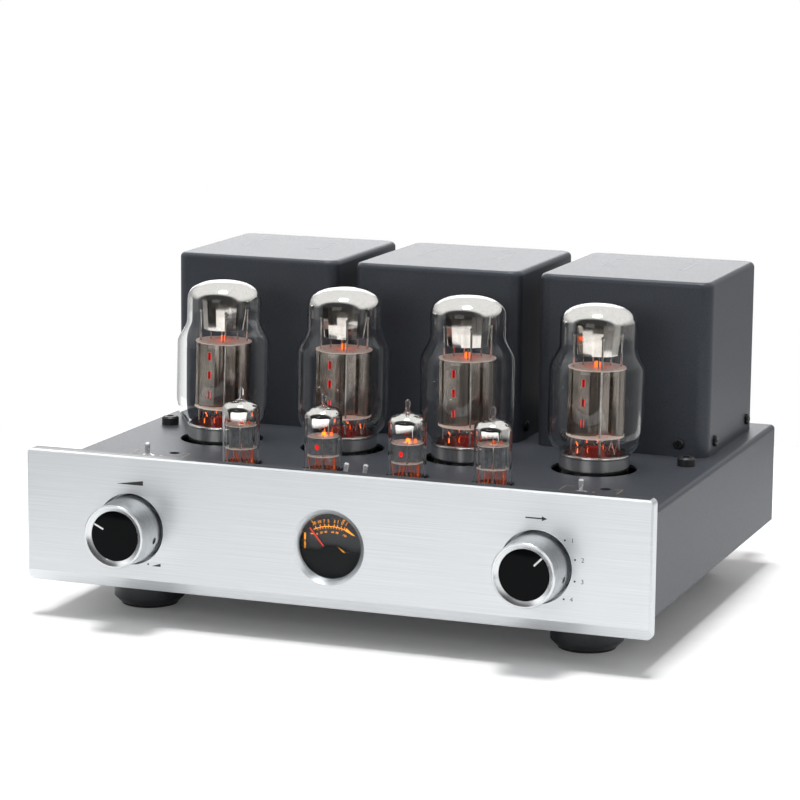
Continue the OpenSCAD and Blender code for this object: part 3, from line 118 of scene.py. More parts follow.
@dataclass
class Shape:
    """Points of a surface in millimetres, its four-cornered faces and its flat caps.

    share holds one number from 0 to 1 for each point, such as how strongly it glows or how covered the surface is
    there.
    """

    points: np.ndarray
    quads: np.ndarray
    caps: Sequence[np.ndarray] = ()
    share: np.ndarray | None = None

    def moved(self, x: float = 0.0, y: float = 0.0, z: float = 0.0) -> "Shape":
        """Return the shape shifted by x, y and z."""
        return replace(self, points=self.points + np.array([x, y, z]))

    def turned(self, matrix: Sequence[Sequence[float]]) -> "Shape":
        """Return the shape turned by a matrix."""
        return replace(self, points=self.points @ np.array(matrix, float).T)

    def spun(self, degrees: float) -> "Shape":
        """Return the shape turned about the Z axis."""
        c, s = ray(degrees)
        return self.turned([[c, -s, 0], [s, c, 0], [0, 0, 1]])

    def leaned(self, degrees: float) -> "Shape":
        """Return the shape tipped to the right about its origin."""
        c, s = ray(degrees)
        return self.turned([[c, 0, s], [0, 1, 0], [-s, 0, c]])

    def facing(self, way: Facing) -> "Shape":
        """Return the shape with its own +Z turned to the way given."""
        return self.turned(way.value)

    def with_share(self, share: np.ndarray | float) -> "Shape":
        """Return the shape with one number from 0 to 1 for each point."""
        return replace(self, share=np.clip(share, 0, 1) + np.zeros(len(self.points)))

    def away(self) -> np.ndarray:
        """Give each point's distance from the Z axis."""
        return np.hypot(self.points[:, 0], self.points[:, 1])

    def repeated(self, count: int, step: float, start: float = 0.0) -> list["Shape"]:
        """Return copies of the shape round the Z axis, step degrees apart from the start on."""
        return [self.spun(start + step * k) for k in range(count)]


def join(shapes: Sequence[Shape]) -> Shape:
    """Put several shapes into one, each with its corners counted on from those before it.

    Args:
        shapes: The shapes. One that has no share gets zero.

    Returns:
        The joined shape.
    """
    starts = np.cumsum([0] + [len(s.points) for s in shapes[:-1]])
    return Shape(
        np.concatenate([s.points for s in shapes]),
        np.concatenate([s.quads + k for s, k in zip(shapes, starts)]),
        [cap + k for s, k in zip(shapes, starts) for cap in s.caps],
        np.concatenate([np.zeros(len(s.points)) if s.share is None else s.share for s in shapes]),
    )


def grid(rows: int, columns: int) -> np.ndarray:
    """Number the faces of a grid whose columns run round and close on themselves.

    Args:
        rows: Points along the profile or path.
        columns: Points round it.

    Returns:
        Four corners for each face, in the order that points outwards.
    """
    i, j = np.meshgrid(np.arange(rows - 1), np.arange(columns), indexing="ij")
    k = (j + 1) % columns
    corners = [i * columns + j, i * columns + k, (i + 1) * columns + k, (i + 1) * columns + j]
    return np.stack(corners, axis=-1).reshape(-1, 4)


def lathe(profile: np.ndarray, turns: int = 96) -> Shape:
    """Turn a profile about the Z axis: x = r cos a, y = r sin a, z = h.

    Args:
        profile: Radius and height of each point, with the material on the left as the points go on.
        turns: Points round the axis.

    Returns:
        The turned surface.
    """
    a = np.linspace(0, 2 * np.pi, turns, endpoint=False)
    r, h = np.asarray(profile, float).T
    ring = np.stack([np.cos(a), np.sin(a), np.zeros(turns)], axis=-1)
    points = r[:, None, None] * ring + h[:, None, None] * np.array([0, 0, 1.0])
    return Shape(points.reshape(-1, 3), grid(len(r), turns))


def sweep(path: np.ndarray, radius: float, sides: int = 8, reference: Sequence[float] = (0, 1, 0)) -> Shape:
    """Carry a circle along a path, with flat ends.

    Args:
        path: Points of the middle line.
        radius: Radius of the circle.
        sides: Points round it.
        reference: A direction that the path never runs along.

    Returns:
        A closed tube: each ring is path + radius (cos b side + sin b up), square to the path.
    """
    path = np.asarray(path, float)
    along = np.gradient(path, axis=0)
    along /= np.linalg.norm(along, axis=1, keepdims=True)
    side = np.cross(along, np.array(reference, float))
    side /= np.linalg.norm(side, axis=1, keepdims=True)
    up = np.cross(along, side)
    b = np.linspace(0, 2 * np.pi, sides, endpoint=False)[None, :, None]
    points = path[:, None] + radius * (np.cos(b) * side[:, None] + np.sin(b) * up[:, None])
    first = np.arange(sides)
    return Shape(points.reshape(-1, 3), grid(len(path), sides), [first[::-1], first + (len(path) - 1) * sides])


def prism(outline: np.ndarray, low: float = 0.0, high: float = PRINT_T) -> Shape:
    """Raise an outline from one height to another and close both ends.

    Args:
        outline: Points of the outline, against the clock.
        low: Height of the lower end.
        high: Height of the upper end. Print lies on the ground and is as high as ink.

    Returns:
        The closed prism.
    """
    n = len(outline)
    rings = [np.column_stack([outline, np.full(n, z)]) for z in (low, high)]
    first = np.arange(n)
    return Shape(np.concatenate(rings), grid(2, n), [first[::-1], first + n])


def rectangle(x: float, y: float, width: float, depth: float) -> np.ndarray:
    """Give the corners of a rectangle round a middle, against the clock."""
    return np.array([x, y]) + np.array([[-1, -1], [1, -1], [1, 1], [-1, 1]]) * np.array([width, depth]) / 2


def disc(radius: float, points: int = 24) -> np.ndarray:
    """Give points of a circle round the origin, against the clock."""
    a = np.linspace(0, 2 * np.pi, points, endpoint=False)
    return radius * np.column_stack([np.cos(a), np.sin(a)])


def sector(radius: float, width: np.ndarray | float, start: float, end: float, steps: int = 40) -> np.ndarray:
    """Outline a band of a circle round the origin.

    Args:
        radius: Radius of its inner side.
        width: How far the band reaches out from there.
        start: Where it starts, in degrees clockwise from upright.
        end: Where it ends.
        steps: Points along each side.

    Returns:
        The outline: the outer side backwards and then the inner one, each r sin a and r cos a.
    """
    a = np.radians(np.linspace(start, end, steps))
    outer = np.column_stack([(radius + width) * np.sin(a), (radius + width) * np.cos(a)])
    inner = np.column_stack([radius * np.sin(a), radius * np.cos(a)])
    return np.concatenate([outer[::-1], inner])


def rounded(corners: Sequence[Sequence[float]], closed: bool = False, steps: int = 6) -> np.ndarray:
    """Draw a line of straight runs whose corners are arcs.

    An arc's centre lies on the line that halves its corner, as far off as its radius over the sine of half the angle.

    Args:
        corners: Two coordinates for each corner and the radius of its arc.
        closed: Whether the last corner joins the first.
        steps: Points in each arc.

    Returns:
        The points of the line.
    """
    spots = np.array([c[:2] for c in corners], float)
    drawn = []
    for i, corner in enumerate(corners):
        radius = corner[2] if len(corner) > 2 else 0.0
        if radius == 0 or (not closed and i in (0, len(corners) - 1)):
            drawn.append(spots[i][None])
            continue
        before, after = spots[i - 1] - spots[i], spots[(i + 1) % len(spots)] - spots[i]
        before, after = before / np.linalg.norm(before), after / np.linalg.norm(after)
        half = math.acos(float(np.clip(before @ after, -1, 1))) / 2
        centre = spots[i] + (before + after) / np.linalg.norm(before + after) * radius / math.sin(half)
        start, end = spots[i] + before * radius / math.tan(half), spots[i] + after * radius / math.tan(half)
        a0, a1 = (math.atan2(*(p - centre)[::-1]) for p in (start, end))
        bend = (a1 - a0 + math.pi) % (2 * math.pi) - math.pi
        a = a0 + bend * np.linspace(0, 1, steps)
        drawn.append(centre + radius * np.column_stack([np.cos(a), np.sin(a)]))
    return np.concatenate(drawn)


def pillar(radius: float, low: float, high: float, turns: int = 12, foot: float = 0.0, head: float = 0.0) -> Shape:
    """Turn a round pillar on the Z axis, whose lower and upper edge are arcs of the radii foot and head."""
    return lathe(rounded([[0, low], [radius, low, foot], [radius, high, head], [0, high]]), turns)


def add_object(name: str, data: bpy.types.ID | None) -> bpy.types.Object:
    """Put data into the scene as an object.

    Args:
        name: The object's name.
        data: Its mesh, curve, lamp or camera.

    Returns:
        The object.
    """
    made = bpy.data.objects.new(name, data)
    bpy.context.scene.collection.objects.link(made)
    return made


def plain_mesh(name: str, shape: Shape) -> bpy.types.Mesh:
    """Make a mesh of a shape, in metres.

    Args:
        name: The mesh's name.
        shape: The shape, in millimetres.

    Returns:
        The mesh.
    """
    mesh = bpy.data.meshes.new(name)
    mesh.from_pydata((shape.points * MM).tolist(), [], shape.quads.tolist() + [cap.tolist() for cap in shape.caps])
    return mesh


def worked_out(holder: bpy.types.Object) -> bpy.types.Mesh:
    """Give the mesh that an object's curve or modifiers lead to."""
    return bpy.data.meshes.new_from_object(holder.evaluated_get(bpy.context.evaluated_depsgraph_get()))


def digits(text: str, size: float) -> Shape:
    """Make plain numbers as a thin solid that lies on the XY plane, centred on the origin.

    Args:
        text: The numbers.
        size: Their size.

    Returns:
        The solid.
    """
    curve = bpy.data.curves.new("digits", "FONT")
    curve.body, curve.size, curve.extrude = text, size, PRINT_T / 2
    curve.align_x, curve.align_y, curve.resolution_u = "CENTER", "CENTER", 4
    holder = add_object("digits", curve)
    mesh = worked_out(holder)
    points = np.empty(len(mesh.vertices) * 3)
    mesh.vertices.foreach_get("co", points)
    caps = [np.array(p.vertices) for p in mesh.polygons]
    bpy.data.objects.remove(holder)
    bpy.data.curves.remove(curve)
    bpy.data.meshes.remove(mesh)
    return Shape(points.reshape(-1, 3), np.empty((0, 4), int), caps).moved(z=PRINT_T / 2)


class Nodes:
    """Nodes of one tree, with short ways to add them and join them.

    Sockets are numbered where several have the same name, as those of a mix node.
    """

    def __init__(self, tree: bpy.types.NodeTree) -> None:
        """Take the tree to work on."""
        self.tree = tree

    def feed(self, socket: Socket, value: object) -> None:
        """Give a socket a value, or join another node's socket to it.

        Args:
            socket: The socket.
            value: The value, or the other socket.
        """
        if isinstance(value, Socket):
            self.tree.links.new(value, socket)
        else:
            socket.default_value = value

    def add(self, kind: str, values: dict | None = None, **settings: object) -> bpy.types.Node:
        """Add a node.

        Args:
            kind: The node's kind.
            values: What its sockets take, by name or number.
            **settings: The node's own settings.

        Returns:
            The node.
        """
        node = self.tree.nodes.new("ShaderNode" + kind)
        for name, value in settings.items():
            setattr(node, name, value)
        for name, value in (values or {}).items():
            self.feed(node.inputs[name], value)
        return node

    def span(self, factor: Socket, low: float, high: float, start: float = NOISE_LOW, end: float = NOISE_HIGH,
             **settings: object) -> Socket:
        """Carry a factor between start and end over to numbers between low and high."""
        values = {"Value": factor, "From Min": start, "From Max": end, "To Min": low, "To Max": high}
        return self.add("MapRange", values, **settings).outputs[0]

    def maths(self, operation: str, first: object, second: object, **settings: object) -> Socket:
        """Work out one number from two."""
        return self.add("Math", {0: first, 1: second}, operation=operation, **settings).outputs[0]

    def mix(self, factor: Socket, low: object, high: object) -> Socket:
        """Give a number between two."""
        return self.add("Mix", {0: factor, 2: low, 3: high}).outputs[0]

    def blend(self, factor: Socket, low: object, high: object) -> Socket:
        """Give a colour between two."""
        return self.add("Mix", {0: factor, 6: low, 7: high}, data_type="RGBA").outputs[2]

    def axis(self, vector: Socket, name: str) -> Socket:
        """Give one coordinate of a vector."""
        return self.add("SeparateXYZ", {0: vector}).outputs[name]


class Sheet(Nodes):
    """Nodes of one material, round one shader."""

    def __init__(self, name: str) -> None:
        """Start a material that has one shader and its output.

        Args:
            name: The material's name.
        """
        self.material = bpy.data.materials.new(name)
        self.material.use_nodes = True
        super().__init__(self.material.node_tree)
        self.tree.nodes.clear()
        self.output = self.add("OutputMaterial")
        self.shader = self.add("BsdfPrincipled")
        self.feed(self.output.inputs["Surface"], self.shader.outputs[0])

    def set(self, **values: object) -> None:
        """Set the shader's sockets, written with low lines for spaces."""
        for name, value in values.items():
            self.feed(self.shader.inputs[name.replace("_", " ")], value)

    def place(self, centre: Sequence[float] = (0, 0, 0), scale: Sequence[float] = (1, 1, 1)) -> Socket:
        """Give the object coordinates, counted from a centre and scaled.

        Args:
            centre: The centre, in millimetres.
            scale: The scale along each axis.

        Returns:
            The scaled coordinates.
        """
        shift = [-c * MM * s for c, s in zip(centre, scale)]
        source = self.add("TexCoord").outputs["Object"]
        return self.add("Mapping", {"Vector": source, "Location": shift, "Scale": list(scale)}).outputs[0]

    def away(self, centre: Sequence[float], scale: Sequence[float]) -> Socket:
        """Give the distance from a centre, in scaled coordinates."""
        return self.add("VectorMath", {0: self.place(centre, scale)}, operation="LENGTH").outputs["Value"]

    def ramp(self, factor: Socket, low: str, high: str) -> Socket:
        """Blend two colours by a pattern.

        Args:
            factor: The pattern.
            low: The colour where it is low.
            high: The colour where it is high.

        Returns:
            The blended colour.
        """
        node = self.add("ValToRGB", {"Fac": factor})
        for stop, code, at in zip(node.color_ramp.elements, (low, high), (NOISE_LOW, NOISE_HIGH)):
            stop.position, stop.color = at, tone(code)
        return node.outputs[0]

    def share(self) -> Socket:
        """Give the number that each point of the piece carries."""
        return self.add("Attribute", attribute_name=SHARE).outputs["Fac"]


@dataclass(frozen=True)
class Finish:
    """A surface whose tone, roughness and relief follow one fine pattern.

    grain counts the pattern's waves in a metre, along every axis or along each, where unlike numbers look brushed.
    relief is the pattern's height in millimetres. stretch is how far brushing draws reflections out, upright.
    tint colours what a surface other than metal mirrors.
    """

    name: str
    tones: tuple[str, str]
    rough: Pair
    metal: float = 0.0
    grain: float | Triple = 700
    detail: float = 3.0
    relief: float = 0.0
    shine: float = 0.5
    stretch: float = 0.0
    tint: str = "#ffffff"

    @cache
    def material(self) -> bpy.types.Material:
        """Give the finish's material, made once.

        Returns:
            The material.
        """
        sheet = Sheet(self.name)
        self.paint(sheet)
        return sheet.material

    def pattern(self, sheet: Sheet) -> Socket:
        """Give the pattern: noise on the object's own coordinates, stretched along the grain.

        Args:
            sheet: The material's nodes.

        Returns:
            The pattern.
        """
        grain = sheet.place(scale=(self.grain * np.ones(3)).tolist())
        values = {"Vector": grain, "Scale": 1.0, "Detail": self.detail, "Roughness": 0.6}
        return sheet.add("TexNoise", values).outputs[0]

    def paint(self, sheet: Sheet) -> None:
        """Set the shader's sockets from the pattern.

        Args:
            sheet: The material's nodes.
        """
        pattern = self.pattern(sheet)
        sheet.set(Base_Color=sheet.ramp(pattern, *self.tones), Metallic=self.metal,
                  Roughness=sheet.span(pattern, *self.rough), Specular_IOR_Level=self.shine,
                  Anisotropic=self.stretch, Anisotropic_Rotation=0.25, Specular_Tint=tone(self.tint))
        if self.relief:
            bump = {"Height": pattern, "Distance": self.relief * MM, "Strength": 1.0}
            sheet.set(Normal=sheet.add("Bump", bump).outputs[0])


@dataclass(frozen=True)
class TurnedFinish(Finish):
    """Metal with the fine rings of a lathe, round an axis that points out of the front panel."""

    centre: Triple = (0.0, 0.0, 0.0)
    rings: float = 2200.0

    def pattern(self, sheet: Sheet) -> Socket:
        """Give the pattern: noise along the sum of the distance from the axis and the place along it.

        Args:
            sheet: The material's nodes.

        Returns:
            The pattern.
        """
        away = sheet.away(self.centre, (self.rings, 0, self.rings))
        depth = sheet.axis(sheet.place(self.centre, (1, self.rings, 1)), "Y")
        values = {"W": sheet.maths("ADD", away, depth), "Scale": 1.0, "Detail": self.detail}
        return sheet.add("TexNoise", values, noise_dimensions="1D").outputs[0]


@dataclass(frozen=True)
class PanelFinish(Finish):
    """Brushed metal with round recesses, smoothed and darkened by painted shade, and a dark flat upper face with no
    metal.
    """

    recesses: Line = ()
    top: float = 0.0
    edge: float = 0.08
    recess_r: float = 19.8
    # painted shade: the tone that the recesses round the knobs are darkened to
    shade: str = "#6e7174"
    smooth: float = 0.2
    coat: str = "#36393e"

    def paint(self, sheet: Sheet) -> None:
        """Paint the metal, smooth it and darken it by painted shade near each recess's axis, and give what is at the
        top a dark tone and no metal.

        Args:
            sheet: The material's nodes.
        """
        super().paint(sheet)
        inside = 0.0
        for x, z in self.recesses:
            within = sheet.maths("LESS_THAN", sheet.away((x, 0, z), (1, 0, 1)), self.recess_r * MM)
            inside = sheet.maths("MAXIMUM", inside, within)
        pattern = self.pattern(sheet)
        # painted shade: within each recess the metal's tone gives way to the shade tone
        metal = sheet.blend(inside, sheet.ramp(pattern, *self.tones), tone(self.shade))
        upper = sheet.maths("GREATER_THAN", sheet.axis(sheet.place(), "Z"), (self.top - self.edge) * MM)
        # the flat upper face gets a dark tone and no metal
        sheet.set(Base_Color=sheet.blend(upper, metal, tone(self.coat)),
                  Metallic=sheet.span(upper, 1.0, 0.0, 0.0, 1.0),
                  Roughness=sheet.mix(inside, sheet.span(pattern, *self.rough), self.smooth))


@dataclass(frozen=True)
class GlassFinish(Finish):
    """Clear glass that lets the lamps through to what it holds."""

    bend: float = 1.30

    def paint(self, sheet: Sheet) -> None:
        """Set a clear shader, and a plain see-through one for rays towards the lamps.

        Args:
            sheet: The material's nodes.
        """
        pattern = self.pattern(sheet)
        sheet.set(Base_Color=sheet.ramp(pattern, *self.tones), Roughness=sheet.span(pattern, *self.rough),
                  IOR=self.bend, Transmission_Weight=1.0)
        through = sheet.add("BsdfTransparent", {"Color": tone(self.tones[0])})
        shadow = sheet.add("LightPath").outputs["Is Shadow Ray"]
        mixed = sheet.add("MixShader", {0: shadow, 1: sheet.shader.outputs[0], 2: through.outputs[0]})
        sheet.feed(sheet.output.inputs["Surface"], mixed.outputs[0])


@dataclass(frozen=True)
class MirrorFinish(Finish):
    """Metal deposited on glass, which thins out where the piece's share falls."""

    uneven: Pair = (0.9, 1.4)

    def paint(self, sheet: Sheet) -> None:
        """Paint the metal, and let the share, broken up by the pattern, set how much of it is there.

        Args:
            sheet: The material's nodes.
        """
        super().paint(sheet)
        uneven = sheet.span(self.pattern(sheet), *self.uneven)
        sheet.set(Alpha=sheet.maths("MULTIPLY", uneven, sheet.share(), use_clamp=True))


@dataclass(frozen=True)
class GlowFinish(Finish):
    """A surface that gives light as strong as the piece's share, or nearly even: hot wires' glow and painted glow."""

    light: str = "#ff6010"
    strength: float = 1.0
    even: bool = False

    def paint(self, sheet: Sheet) -> None:
        """Paint the surface and add its light.

        Args:
            sheet: The material's nodes.
        """
        super().paint(sheet)
        if self.even:
            level = sheet.span(self.pattern(sheet), self.strength * 0.8, self.strength)
        else:
            level = sheet.span(sheet.share(), 0.0, self.strength, 0.0, 1.0)
        sheet.set(Emission_Color=tone(self.light), Emission_Strength=level)


CASE_COAT = Finish("case_powder_coat", ("#303237", "#41444a"), (0.40, 0.54), grain=1500, relief=0.05,
                   tint="#e8f1fa")
COVER_COAT = Finish("cover_powder_coat", ("#2f3137", "#40434a"), (0.34, 0.48), grain=1500, relief=0.05,
                    tint="#e8f1fa")
STEEL = Finish("zinc_steel", ("#8d9094", "#b4b7ba"), (0.25, 0.42), 1.0, 300)
BLACK_STEEL = Finish("black_oxide", ("#1b1b1d", "#2c2c2f"), (0.22, 0.36), 0.6, 900)
NICKEL = Finish("bright_nickel", ("#c9c5bf", "#e2ded8"), (0.10, 0.20), 1.0, 220)
SATIN = Finish("satin_nickel", ("#d2cfcb", "#dedbd7"), (0.13, 0.19), 1.0, (1500, 1500, 3000))
PLATED = Finish("chrome_plate", ("#d6d6d6", "#efefef"), (0.18, 0.30), 0.55, 400)
GOLD = Finish("plated_gold", ("#c99b3f", "#e0b968"), (0.14, 0.26), 1.0, 400)
BRASS = Finish("plain_brass", ("#a88a45", "#c2a55e"), (0.22, 0.38), 1.0, 400)
IRON = Finish("stacked_iron", ("#3d3e40", "#55565a"), (0.4, 0.6), 0.8, (60, 60, 2000))
COPPER = Finish("taped_copper", ("#8a4f25", "#b06a36"), (0.3, 0.5), 0.5, (900, 40, 900))
LAMINATE = Finish("green_laminate", ("#0f3a20", "#1b5330"), (0.3, 0.45), grain=500)
CERAMIC = Finish("glazed_ceramic", ("#d8d3c6", "#ebe7dd"), (0.4, 0.55), grain=900, relief=0.01)
SLEEVE = Finish("component_sleeve", ("#191b20", "#2b2f38"), (0.3, 0.45), grain=300)
GLOSS_BLACK = Finish("lacquer_black", ("#060708", "#0c0e10"), (0.06, 0.10), grain=2600, shine=0.05)
MATT_BLACK = Finish("moulded_black", ("#131315", "#222225"), (0.38, 0.55), grain=1800, relief=0.01)
FOOT_BLACK = Finish("anodised_black", ("#1c2024", "#2b2f34"), (0.3, 0.44), grain=1500, relief=0.008)
RUBBER = Finish("pad_rubber", ("#121212", "#202020"), (0.7, 0.85), grain=1200, relief=0.02)
CAP_RED = Finish("moulded_red", ("#7d1210", "#97201c"), (0.14, 0.24))
DIAL_BLACK = Finish("dial_black", ("#2c2b2e", "#38373b"), (0.45, 0.6), grain=1500)
# painted glow: the red needle gives light of its own
NEEDLE_RED_PAINTED_GLOW = GlowFinish("needle_painted_glow", ("#c8261a", "#e23a28"), (0.3, 0.45), light="#e0301c", strength=0.5, even=True)
SCALE_LIGHT = GlowFinish("scale_light", ("#c87a10", "#e59a1e"), (0.4, 0.5), light="#ff9a14", strength=1.3, even=True)
INK = Finish("panel_ink", ("#1a1a1b", "#2a2a2c"), (0.4, 0.55), grain=2500)
WHITE_INK = Finish("pointer_white", ("#dedede", "#f2f2f2"), (0.35, 0.5), grain=2500)
TAN_INK = Finish("plate_ink", ("#8f7a58", "#a8926c"), (0.4, 0.55), grain=2500)
PALE_INK = Finish("cover_ink", ("#8b8f95", "#a4a8ad"), (0.4, 0.55), grain=2500)
GLASS = GlassFinish("tube_glass", ("#fbfdfd", "#ffffff"), (0.0, 0.006), grain=60)
LENS = GlassFinish("lens_glass", ("#eef1f2", "#f8fafa"), (0.0, 0.01), grain=60, bend=1.15)
FLASH = MirrorFinish("getter_mirror", ("#dbd8d3", "#e6e4e0"), (0.02, 0.05), 1.0, 900)
POLISHED = Finish("polished_nickel", ("#c6bfb8", "#dcd6cf"), (0.05, 0.10), 1.0, (300, 300, 20))
ANODE = Finish("anode_nickel", ("#8a8078", "#aaa097"), (0.14, 0.24), 1.0, (120, 120, 12))
# painted shade: dark strips where the anode's slots open
SLOT_PAINTED_SHADE = Finish("slot_painted_shade", ("#0d0a0a", "#181212"), (0.5, 0.7), grain=900)
PLATE_GREY = Finish("plate_grey", ("#6e7073", "#8d8f92"), (0.35, 0.5), 0.7, 500)
# painted glow: the micas give red light of their own, strongest near the axis
MICA_PAINTED_GLOW = GlowFinish("mica", ("#b5a89c", "#d6cdc3"), (0.25, 0.4), grain=500, light="#ff3c14", strength=0.4)
# painted glow: the glass stem gives a dull red light of its own
STEM_PAINTED_GLOW = GlowFinish("glass_stem_painted_glow", ("#1c0c0c", "#301412"), (0.12, 0.25), grain=380, light="#c4200a", strength=0.25)
HOT_WIRE = GlowFinish("hot_wire", ("#8a3214", "#b4501e"), (0.3, 0.4), strength=5.0)
# painted glow: red light on the anode beside its slots, and on the oval of the wrapped plate
RED_PAINTED_GLOW = GlowFinish("red_slot_painted_glow", ("#8a0c08", "#b01410"), (0.3, 0.4), light="#f01008", even=True)


def dress(node: str, finish: Finish) -> None:
    """Give a CAD node's slots a finish.

    Args:
        node: The node's name.
        finish: The finish.
    """
    for slot in frame["nodes"][node].material_slots:
        slot.material = finish.material()
    log.info("dressed %s in %s", node, finish.name)


def piece(name: str, shape: Shape, finish: Finish, body: str, slot: str, *stands_for: str,
          sharp: float = CRISP) -> bpy.types.Object:
    """Make a shape into a piece that rides on a body.

    Args:
        name: The piece's name.
        shape: Its surface, in millimetres.
        finish: What it is dressed in.
        body: The body that it moves with.
        slot: The name of a record's material slot; not used.
        *stands_for: CAD nodes that it is shown in place of.
        sharp: Edges that bend more than this angle stay crisp.

    Returns:
        The new object.
    """
    mesh = plain_mesh(name, shape)
    if shape.share is not None:
        mesh.attributes.new(SHARE, "FLOAT", "POINT").data.foreach_set("value", shape.share.astype(np.float32))
    work = bmesh.new()
    work.from_mesh(mesh)
    bmesh.ops.remove_doubles(work, verts=work.verts, dist=1e-7)
    bmesh.ops.dissolve_degenerate(work, edges=work.edges, dist=1e-8)
    work.to_mesh(mesh)
    work.free()
    mesh.shade_smooth()
    mesh.set_sharp_from_angle(angle=math.radians(sharp))
    made = add_object(name, mesh)
    mesh.materials.append(finish.material())
    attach(made, body)
    if stands_for:
        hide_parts(*stands_for)
    log.info("made %s with %d faces", name, len(mesh.polygons))
    return made


@dataclass(frozen=True)
class SoftBox:
    """A soft box: where it hangs, in degrees round the object, its size in metres and how bright its face is."""

    name: str
    azimuth: float
    elevation: float
    width: float
    height: float
    level: float


@dataclass
class Studio:
    """Pale floor, white backdrop, soft lamps and the camera of the photograph's view."""

    azimuth: float = 20.386
    elevation: float = 10.262
    roll: float = 0.535
    distance: float = 1751.5
    target: Triple = (-4.1, -23.25, 114.5)
    focal_pixels: float = 3076.62
    frame_pixels: float = 800.0
    sensor: float = 36.0
    clip: Pair = (0.05, 50.0)
    table: tuple[float, float, float, float] = (15.0, -100.0, 930.0, 1200.0)
    table_drop: float = 0.05
    table_light: float = 0.03
    sun_strength: float = 2.4
    sun_angle: float = 17.0
    sun_tilt: Triple = (1.0, -2.0, 0.0)
    sky_fill: Pair = (0.10, 0.5)
    sky_mirrored: Pair = (0.05, 1.0)
    sky_turn: Pair = (-0.5, -0.2)
    sky_low: Pair = (0.5, 1.0)
    sky_rise: Pair = (0.1, 0.5)
    box_distance: float = 1.7
    box_rise: float = 0.1
    boxes: tuple[SoftBox, ...] = (
        SoftBox("left_box", -62.0, 20.0, 0.6, 1.5, 1.1),
        SoftBox("right_box", 56.0, 20.0, 0.6, 1.5, 1.4),
        SoftBox("rear_box", 203.0, 14.0, 1.2, 0.9, 2.6),
        SoftBox("front_box", -6.0, 18.0, 0.8, 0.7, 3.0),
    )

    def build(self) -> None:
        """Make the floor, backdrop, lamps and camera."""
        bpy.context.scene.view_settings.view_transform = "Standard"
        self.floor()
        self.backdrop()
        self.lamps()
        self.camera()

    def floor(self) -> None:
        """Lay a table top that keeps the object's shadow, otherwise reads white and ends a little way round it."""
        corners = np.column_stack([rectangle(*self.table), np.zeros(4)])
        ground = add_object("floor", plain_mesh("floor", Shape(corners, np.array([[0, 1, 2, 3]]))))
        ground.location.z = -self.table_drop * MM
        sheet = Sheet("pale_floor")
        noise = sheet.add("TexNoise", {"Vector": sheet.place(), "Scale": 60.0}).outputs[0]
        seen = sheet.add("LightPath").outputs["Is Camera Ray"]
        sheet.set(Base_Color=sheet.ramp(noise, "#f4f4f4", "#f8f8f8"), Roughness=0.9, Specular_IOR_Level=0.1,
                  Emission_Color=tone("#ffffff"), Emission_Strength=sheet.span(seen, 0.0, self.table_light, 0.0, 1.0))
        ground.data.materials.append(sheet.material)

    def backdrop(self) -> None:
        """Light the sky: white to the camera, and once mirrored bright overhead and dark towards the camera."""
        world = bpy.data.worlds.new("studio")
        bpy.context.scene.world = world
        world.use_nodes = True
        nodes = Nodes(world.node_tree)
        path = nodes.add("LightPath").outputs
        way = nodes.add("TexCoord").outputs["Generated"]
        back, up = nodes.axis(way, "Y"), nodes.axis(way, "Z")
        smooth = {"interpolation_type": "SMOOTHSTEP"}
        mirrored = nodes.maths("MULTIPLY", nodes.span(back, *self.sky_mirrored, *self.sky_turn, **smooth),
                               nodes.span(up, *self.sky_low, *self.sky_rise, **smooth))
        strength = nodes.span(back, *self.sky_fill, *self.sky_turn, **smooth)
        for kind, level in (("Is Glossy Ray", mirrored), ("Is Transmission Ray", 1.0), ("Glossy Depth", mirrored),
                            ("Is Camera Ray", 1.0)):
            strength = nodes.mix(path[kind], strength, level)
        sky = world.node_tree.nodes["Background"].inputs
        nodes.feed(sky["Strength"], strength)
        nodes.feed(sky["Color"], tone("#ffffff"))

    def lamps(self) -> None:
        """Hang a soft sun overhead, a tall soft box on each side, and one behind and in front of the object."""
        sun = bpy.data.lights.new("overhead", "SUN")
        sun.energy, sun.angle = self.sun_strength, math.radians(self.sun_angle)
        add_object("overhead", sun).rotation_euler = [math.radians(tilt) for tilt in self.sun_tilt]
        for box in self.boxes:
            way = bearing(box.azimuth, box.elevation)
            lamp = bpy.data.lights.new(box.name, "AREA")
            lamp.shape, lamp.size, lamp.size_y = "RECTANGLE", box.width, box.height
            lamp.energy = box.level * math.pi * box.width * box.height
            holder = add_object(box.name, lamp)
            holder.location = way * self.box_distance + Vector((0, 0, self.box_rise))
            holder.rotation_euler = way.to_track_quat("Z", "Y").to_euler()
            holder.visible_camera = holder.visible_transmission = False

    def camera(self) -> None:
        """Set the camera by its angles round the target, with the roll of the photograph's horizon."""
        back, level = bearing(self.azimuth, self.elevation), Vector((*ray(self.azimuth), 0))
        rise = back.cross(level)
        c, s = ray(self.roll)
        turn = Matrix((level * c + rise * s, rise * c - level * s, back)).transposed().to_4x4()
        data = bpy.data.cameras.new("view")
        data.sensor_width, data.lens = self.sensor, self.sensor * self.focal_pixels / self.frame_pixels
        data.clip_start, data.clip_end = self.clip
        eye = add_object("view", data)
        eye.matrix_world = Matrix.Translation((Vector(self.target) + back * self.distance) * MM) @ turn
        bpy.context.scene.camera = eye


